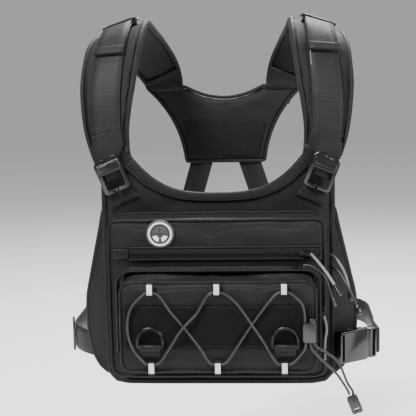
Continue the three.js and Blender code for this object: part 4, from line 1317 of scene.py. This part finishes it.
def folded_loop(name, node, middle, height):
    """A short loop of webbing round the cord, sewn down at both ends, with a silver stripe."""
    rear, front = -100.9, -107.0
    half = 7.5
    lower = [(rear, -half + 0.3), (rear - 2.0, -half + 0.3), (front + 1.2, -half + 0.6),
             (front + 0.4, -half + 1.8)]
    path = lower + [(front + 0.2, 0)] + [(y, -z) for y, z in reversed(lower)]
    line = smooth_line([mm(middle, y, height + z) for y, z in path], 32)

    def band(half_width, thick, lift):
        frames = []
        for i, point in enumerate(line):
            ahead = heading(line, i)
            across = Vector((1, 0, 0))
            out = ahead.cross(across)
            frames.append((point, across, out if out.y < 0 or abs(out.z) > 0.5 else -out))
        return strap(frames, half_width * MM, thick * MM, lift * MM)

    finish_piece(name, band(4.0, 1.0, -1.0), WEBBING, node)
    finish_piece(f"{name}_stripe", band(3.2, 0.25, 0.02), REFLECTIVE)


for i, x in enumerate((-75, 3, 81), start=1):
    folded_loop(f"lace_loop_top_{i}", f"cord_loop_top_{i}", x, 21)
    folded_loop(f"lace_loop_bottom_{i}", f"cord_loop_bottom_{i}", x, -73)


def d_ring(end, middle):
    """A D-shaped ring of round wire, standing on its straight bar."""
    y = -105.9
    line = [(-12.5, -48), (-6, -48), (0, -48), (6, -48), (12.5, -48)]
    line += [(12.5 + 2.5 * math.sin(a), -45.5 - 2.5 * math.cos(a)) for a in (0.4, 0.8, 1.2)]
    line += [(15, -44), (15, -40.5)]
    line += [(15 * math.cos(math.pi * k / 20), -40 + 15 * math.sin(math.pi * k / 20)) for k in range(1, 20)]
    line += [(-x, z) for x, z in [(15, -40.5), (15, -44)]]
    line += [(-12.5 - 2.5 * math.sin(a), -45.5 - 2.5 * math.cos(a)) for a in (1.2, 0.8, 0.4)]
    points = [mm(middle + x, y, z) for x, z in line]
    count = len(points)
    rings = []
    for i in range(count + 1):
        before, here, after = (points[(i + k) % count] for k in (-1, 0, 1))
        ahead = (after - before).normalized()
        side = Vector((0, 1, 0))
        rise = ahead.cross(side)
        rings.append(oval_ring(here, side * 1.95 * MM, rise * 1.95 * MM, 14))
    finish_piece(f"d_ring_wire_{end}", loft(rings, capped=False), DARK_METAL,
                 f"d_ring_{end}", f"d_ring_{end}_body")

    path = [(-102.3, -59), (-102.6, -54), (-103.0, -50.5), (-103.3, -48), (-104.0, -45.6), (-105.9, -44.7),
            (-107.8, -45.6), (-108.5, -48), (-108.2, -51), (-106.0, -54), (-104.2, -56.5), (-104.0, -59)]
    line = smooth_line([mm(middle, yy, z) for yy, z in path], 44)
    frames = []
    for i, point in enumerate(line):
        ahead = heading(line, i)
        across = Vector((1, 0, 0))
        frames.append((point, across, across.cross(ahead)))
    band = strap(frames, 12 * MM, 1.2 * MM)
    finish_piece(f"d_ring_webbing_{end}", band, WEBBING, f"d_ring_tab_{end}")
    rows = [[mm(middle + x, y, z) for x in (-10.5, 10.5)] for y, z in ((-106.6, -55.2), (-105.4, -57.4))]
    stitch_rows(f"d_ring_stitches_{end}", rows)


d_ring("left", -76)
d_ring("right", 82)


# ---- Cords ------------------------------------------------------------------------------

LACE_Y = -103.9
LOCK_Y = -107.1
LACE = [
    (105.5, LOCK_Y, -41.3), (105.5, LOCK_Y, -44), (104, -104.9, -51), (90, LACE_Y, -67.5), (85, LACE_Y, -69),
    (77, LACE_Y, -69), (72, LACE_Y, -67), (57, -104.9, -42), (43, -107.5, -20), (26, -104.9, 4),
    (13, LACE_Y, 15), (7, LACE_Y, 17), (-1, LACE_Y, 17), (-7, LACE_Y, 14), (-21, -104.9, -8), (-39, -107.5, -27),
    (-54.5, -104.9, -51), (-66, LACE_Y, -67), (-71, LACE_Y, -69), (-79, LACE_Y, -69), (-85, -104.4, -65),
    (-97, -105.4, -48), (-102, -105.4, -26), (-98, -104.9, -2), (-85, LACE_Y, 13), (-79, LACE_Y, 17),
    (-71, LACE_Y, 17), (-65, LACE_Y, 14), (-51, -104.4, -6), (-35, -103.5, -26), (-17, -104.4, -50),
    (-6, LACE_Y, -67), (-1, LACE_Y, -69), (7, LACE_Y, -69), (12, LACE_Y, -67), (27, -104.4, -46),
    (43, -103.5, -22), (59, -104.4, 0), (71, LACE_Y, 14), (77, LACE_Y, 17), (85, LACE_Y, 17),
    (91, -104.4, 14), (102, -104.9, 2), (105, LOCK_Y, -15), (105, LOCK_Y, -18.7),
]
TAIL_1 = [(110.5, LOCK_Y, -41.3), (112, LOCK_Y, -48), (121, -105.1, -60), (133, -103.1, -72),
          (142, -101.1, -82), (149, -99.1, -93), (154.7, -97.1, -103.5), (156, -97.1, -107.4)]
TAIL_2 = [(114.8, LOCK_Y, -41.3), (117, LOCK_Y, -46), (130, -104.1, -55), (143, -102.1, -66),
          (149, -101.1, -80), (154, -99.1, -93), (160.2, -97.1, -104), (160.2, -97.1, -107.7)]
UPPER_PULL = [(113, -61.7, 54), (118, -64.3, 49), (126, -78, 41), (133, -89, 33), (139, -97, 24)]
TOP_PULL = [(103.5, -76, 43), (111, -77, 43), (119, -79, 39), (128, -81, 31), (133, -82, 20), (137, -83, 6)]
SIDE_PULL = [(127.4, -75.3, -18.1), (129, -76, -24), (130.4, -78, -34), (128.6, -80, -46), (128, -82, -56)]


def free_cord(name, route, diameter, material, steps, node=None, body=HARNESS):
    line = smooth_line([mm(*p) for p in route], steps)
    piece = finish_piece(name, tube(line, diameter / 2 * MM, 10), material, node, body)


dress("cord_lock_body", SMOKE_PLASTIC, 1.3 * MM)
dress("cord_lock_button", SMOKE_PLASTIC, 0.6 * MM)
clamp = dress("cord_end_clamp", SMOKE_PLASTIC, 0.9 * MM)
free_cord("lace_cord", LACE, 3.0, CORD, 560, "shock_cord")
free_cord("cord_tail_a", TAIL_1, 3.0, CORD, 60, "cord_tail_1")
free_cord("cord_tail_b", TAIL_2, 3.0, CORD, 60, "cord_tail_2")


GRIP_STEPS = 26


def grip(name, node, route, length, body):
    """A moulded pull on the end of a cord: a waisted, ribbed barrel."""
    end = mm(*route[-1])
    ahead = (end - mm(*route[-2])).normalized()
    side = ahead.orthogonal().normalized()
    rise = ahead.cross(side)
    rings = []
    for i in range(GRIP_STEPS + 1):
        t = i / GRIP_STEPS
        radius = 2.25 + 0.65 * t + 0.18 * math.cos(t * 12 * math.pi) * (0.15 < t < 0.85)
        if t < 0.06 or t > 0.94:
            radius *= 0.82
        centre = end + ahead * (0.3 + length * t) * MM
        rings.append(oval_ring(centre, side * radius * MM, rise * 0.85 * radius * MM, 14))
    return finish_piece(name, loft(rings), BLACK_PLASTIC, node, body)


PULLS = [
    ("upper_zip_pull", UPPER_PULL, 3.6, 15, "upper_zip_runner", SLEEVE, "pull_sleeve"),
    ("front_zip_top_pull", TOP_PULL, 2.4, 11, "front_zip_runner_top", CORD, "shock_cord"),
    ("front_zip_side_pull", SIDE_PULL, 3.6, 13, "front_zip_runner_side", SLEEVE, "pull_sleeve"),
]
for name, route, diameter, length, body, material, slot in PULLS:
    held = grip(f"{name}_barrel", f"{name}_grip", route, length, body)
    free_cord(f"{name}_loop", route, diameter, material, 40, f"{name}_cord", body=body)


def cord_stop(name, route, length, radius):
    """A small turned bead on the end of a cord."""
    end = mm(*route[-1])
    ahead = (end - mm(*route[-2])).normalized()
    side = ahead.orthogonal().normalized()
    rise = ahead.cross(side)
    rings = []
    for t, share in ((0, 0.5), (0.1, 0.85), (0.25, 1), (0.6, 1.0), (0.85, 0.85), (1, 0.45)):
        centre = end + ahead * (0.2 * MM + length * t * MM)
        rings.append(oval_ring(centre, side * radius * share * MM, rise * radius * share * MM, 14))
    return finish_piece(name, loft(rings), BLACK_PLASTIC)


SIDE_CORD_A = [(136.2, -28, 32), (141, -35, 31), (148, -48, 27), (155, -60, 17), (161, -68, 6),
               (166, -73, -6)]
SIDE_CORD_B = [(136.2, -24, 46), (141, -31, 45), (147, -42, 40), (153, -50, 30), (157, -54, 18),
               (159, -56, 8)]


def side_cords():
    """Two short cords with beads from the upper pouch's right side."""
    for name, route, material in (("side_cord_a", SIDE_CORD_A, CORD), ("side_cord_b", SIDE_CORD_B, SLEEVE)):
        bead = cord_stop(f"{name}_bead", route, 12, 3.1)
        free_cord(name, route, 3.0, material, 44)


side_cords()


# ---- Edges of the wings, the yoke and the back of the bib -------------------------------

def edge_tape(name, line, outs, half, thick):
    """Tape folded over an edge: an oval section half as deep as it is thick, along the edge's line."""
    rings = []
    for i, point in enumerate(line):
        inward = outs[i].cross(heading(line, i)).normalized()
        rings.append(oval_ring(point, outs[i] * thick * MM, inward * half * MM, 12, 0.6, 0.6))
    finish_piece(name, loft(rings), BINDING)


WING_EDGE = [(141.5, 103), (144, 101), (150, 76), (157, 46), (164, 16), (170.5, -14), (171.5, -40),
             (169.5, -66), (163, -88), (154, -101), (144.5, -108)]


def wing_edges(side):
    end = SIDES[side]
    line = []
    outs = []
    for i in range(61):
        flat = catmull([Vector((x, 0, z)) for x, z in WING_EDGE], i / 60)
        s = side * along_at(min(flat.x, 171.5) - 2.6)
        point = on_body(s, 2, flat.z)
        line.append(point)
        outs.append((on_body(s, 3, flat.z) - point).normalized())
    edge_tape(f"side_wing_tape_{end}", line, outs, 3.4, 2.7)
    inner = []
    for i in range(6, 55):
        flat = catmull([Vector((x - 8, 0, z)) for x, z in WING_EDGE], i / 60)
        inner.append(on_body(side * along_at(flat.x), 4.15, flat.z))
    stitch_rows(f"side_wing_stitches_{end}", [inner])


for side in SIDES:
    wing_edges(side)


YOKE_HALF = 113
YOKE_TOP = 246
YOKE_BOTTOM = 138
YOKE_HEIGHT = YOKE_TOP - YOKE_BOTTOM


def yoke_edges():
    """Tape round the yoke, and quilting across its outer face."""
    side = []
    for i in range(21):
        t = i / 20
        x = (1 - t) ** 2 * YOKE_HALF + 2 * t * (1 - t) * YOKE_HALF * 0.56 + t * t * YOKE_HALF * 0.5
        bend = YOKE_TOP - YOKE_HEIGHT * 0.4
        z = (1 - t) ** 2 * YOKE_TOP + 2 * t * (1 - t) * bend + t * t * YOKE_BOTTOM
        side.append((x, z))
    top = [(56 * (1 - 2 * t), YOKE_TOP - 64 * t * (1 - t)) for t in (i / 30 for i in range(31))]
    outline = [(YOKE_HALF, YOKE_TOP)] + top + [(-YOKE_HALF, YOKE_TOP)]
    outline += [(-x, z) for x, z in side[1:]]
    outline += [(x, z) for x, z in reversed(side)]
    points = [mm(x * 0.985, YOKE_MIDDLE, 139.5 + (z - YOKE_BOTTOM) * 0.985) for x, z in outline]
    line = evenly(points, 4 * MM)
    edge_tape("yoke_edge_tape", line, [Vector((0, 1, 0))] * len(line), 2.6, 5.2)
    yoke_tree = surface_of(yoke.data)
    rows = []
    for z in (160, 182, 204):
        width = int(52 + (z - YOKE_BOTTOM) * 0.14)
        places = [mm(x, 0, z) for x in range(-width, width + 1, 4)]
        rows.append(laid_row(yoke_tree, places, 0.1, FRONT))
    stitch_rows("yoke_quilting", rows)


yoke_edges()


def air_mesh_panel(name, points, rear, front):
    """A panel of spacer mesh on the wearer's side."""
    bm = outline_solid(points, rear, front, 1.2, segments=3)
    finish_piece(name, bm, AIR_MESH)


air_mesh_panel("bib_mesh_left", [(-100, -104), (-12, -104), (-12, 92), (-100, 108)], 3.0, -1.5)
air_mesh_panel("bib_mesh_right", [(12, -104), (100, -104), (100, 108), (12, 92)], 3.0, -1.5)
air_mesh_panel("yoke_mesh", [(-46, 148), (46, 148), (58, 196), (-58, 196)], 212.5, 207.2)
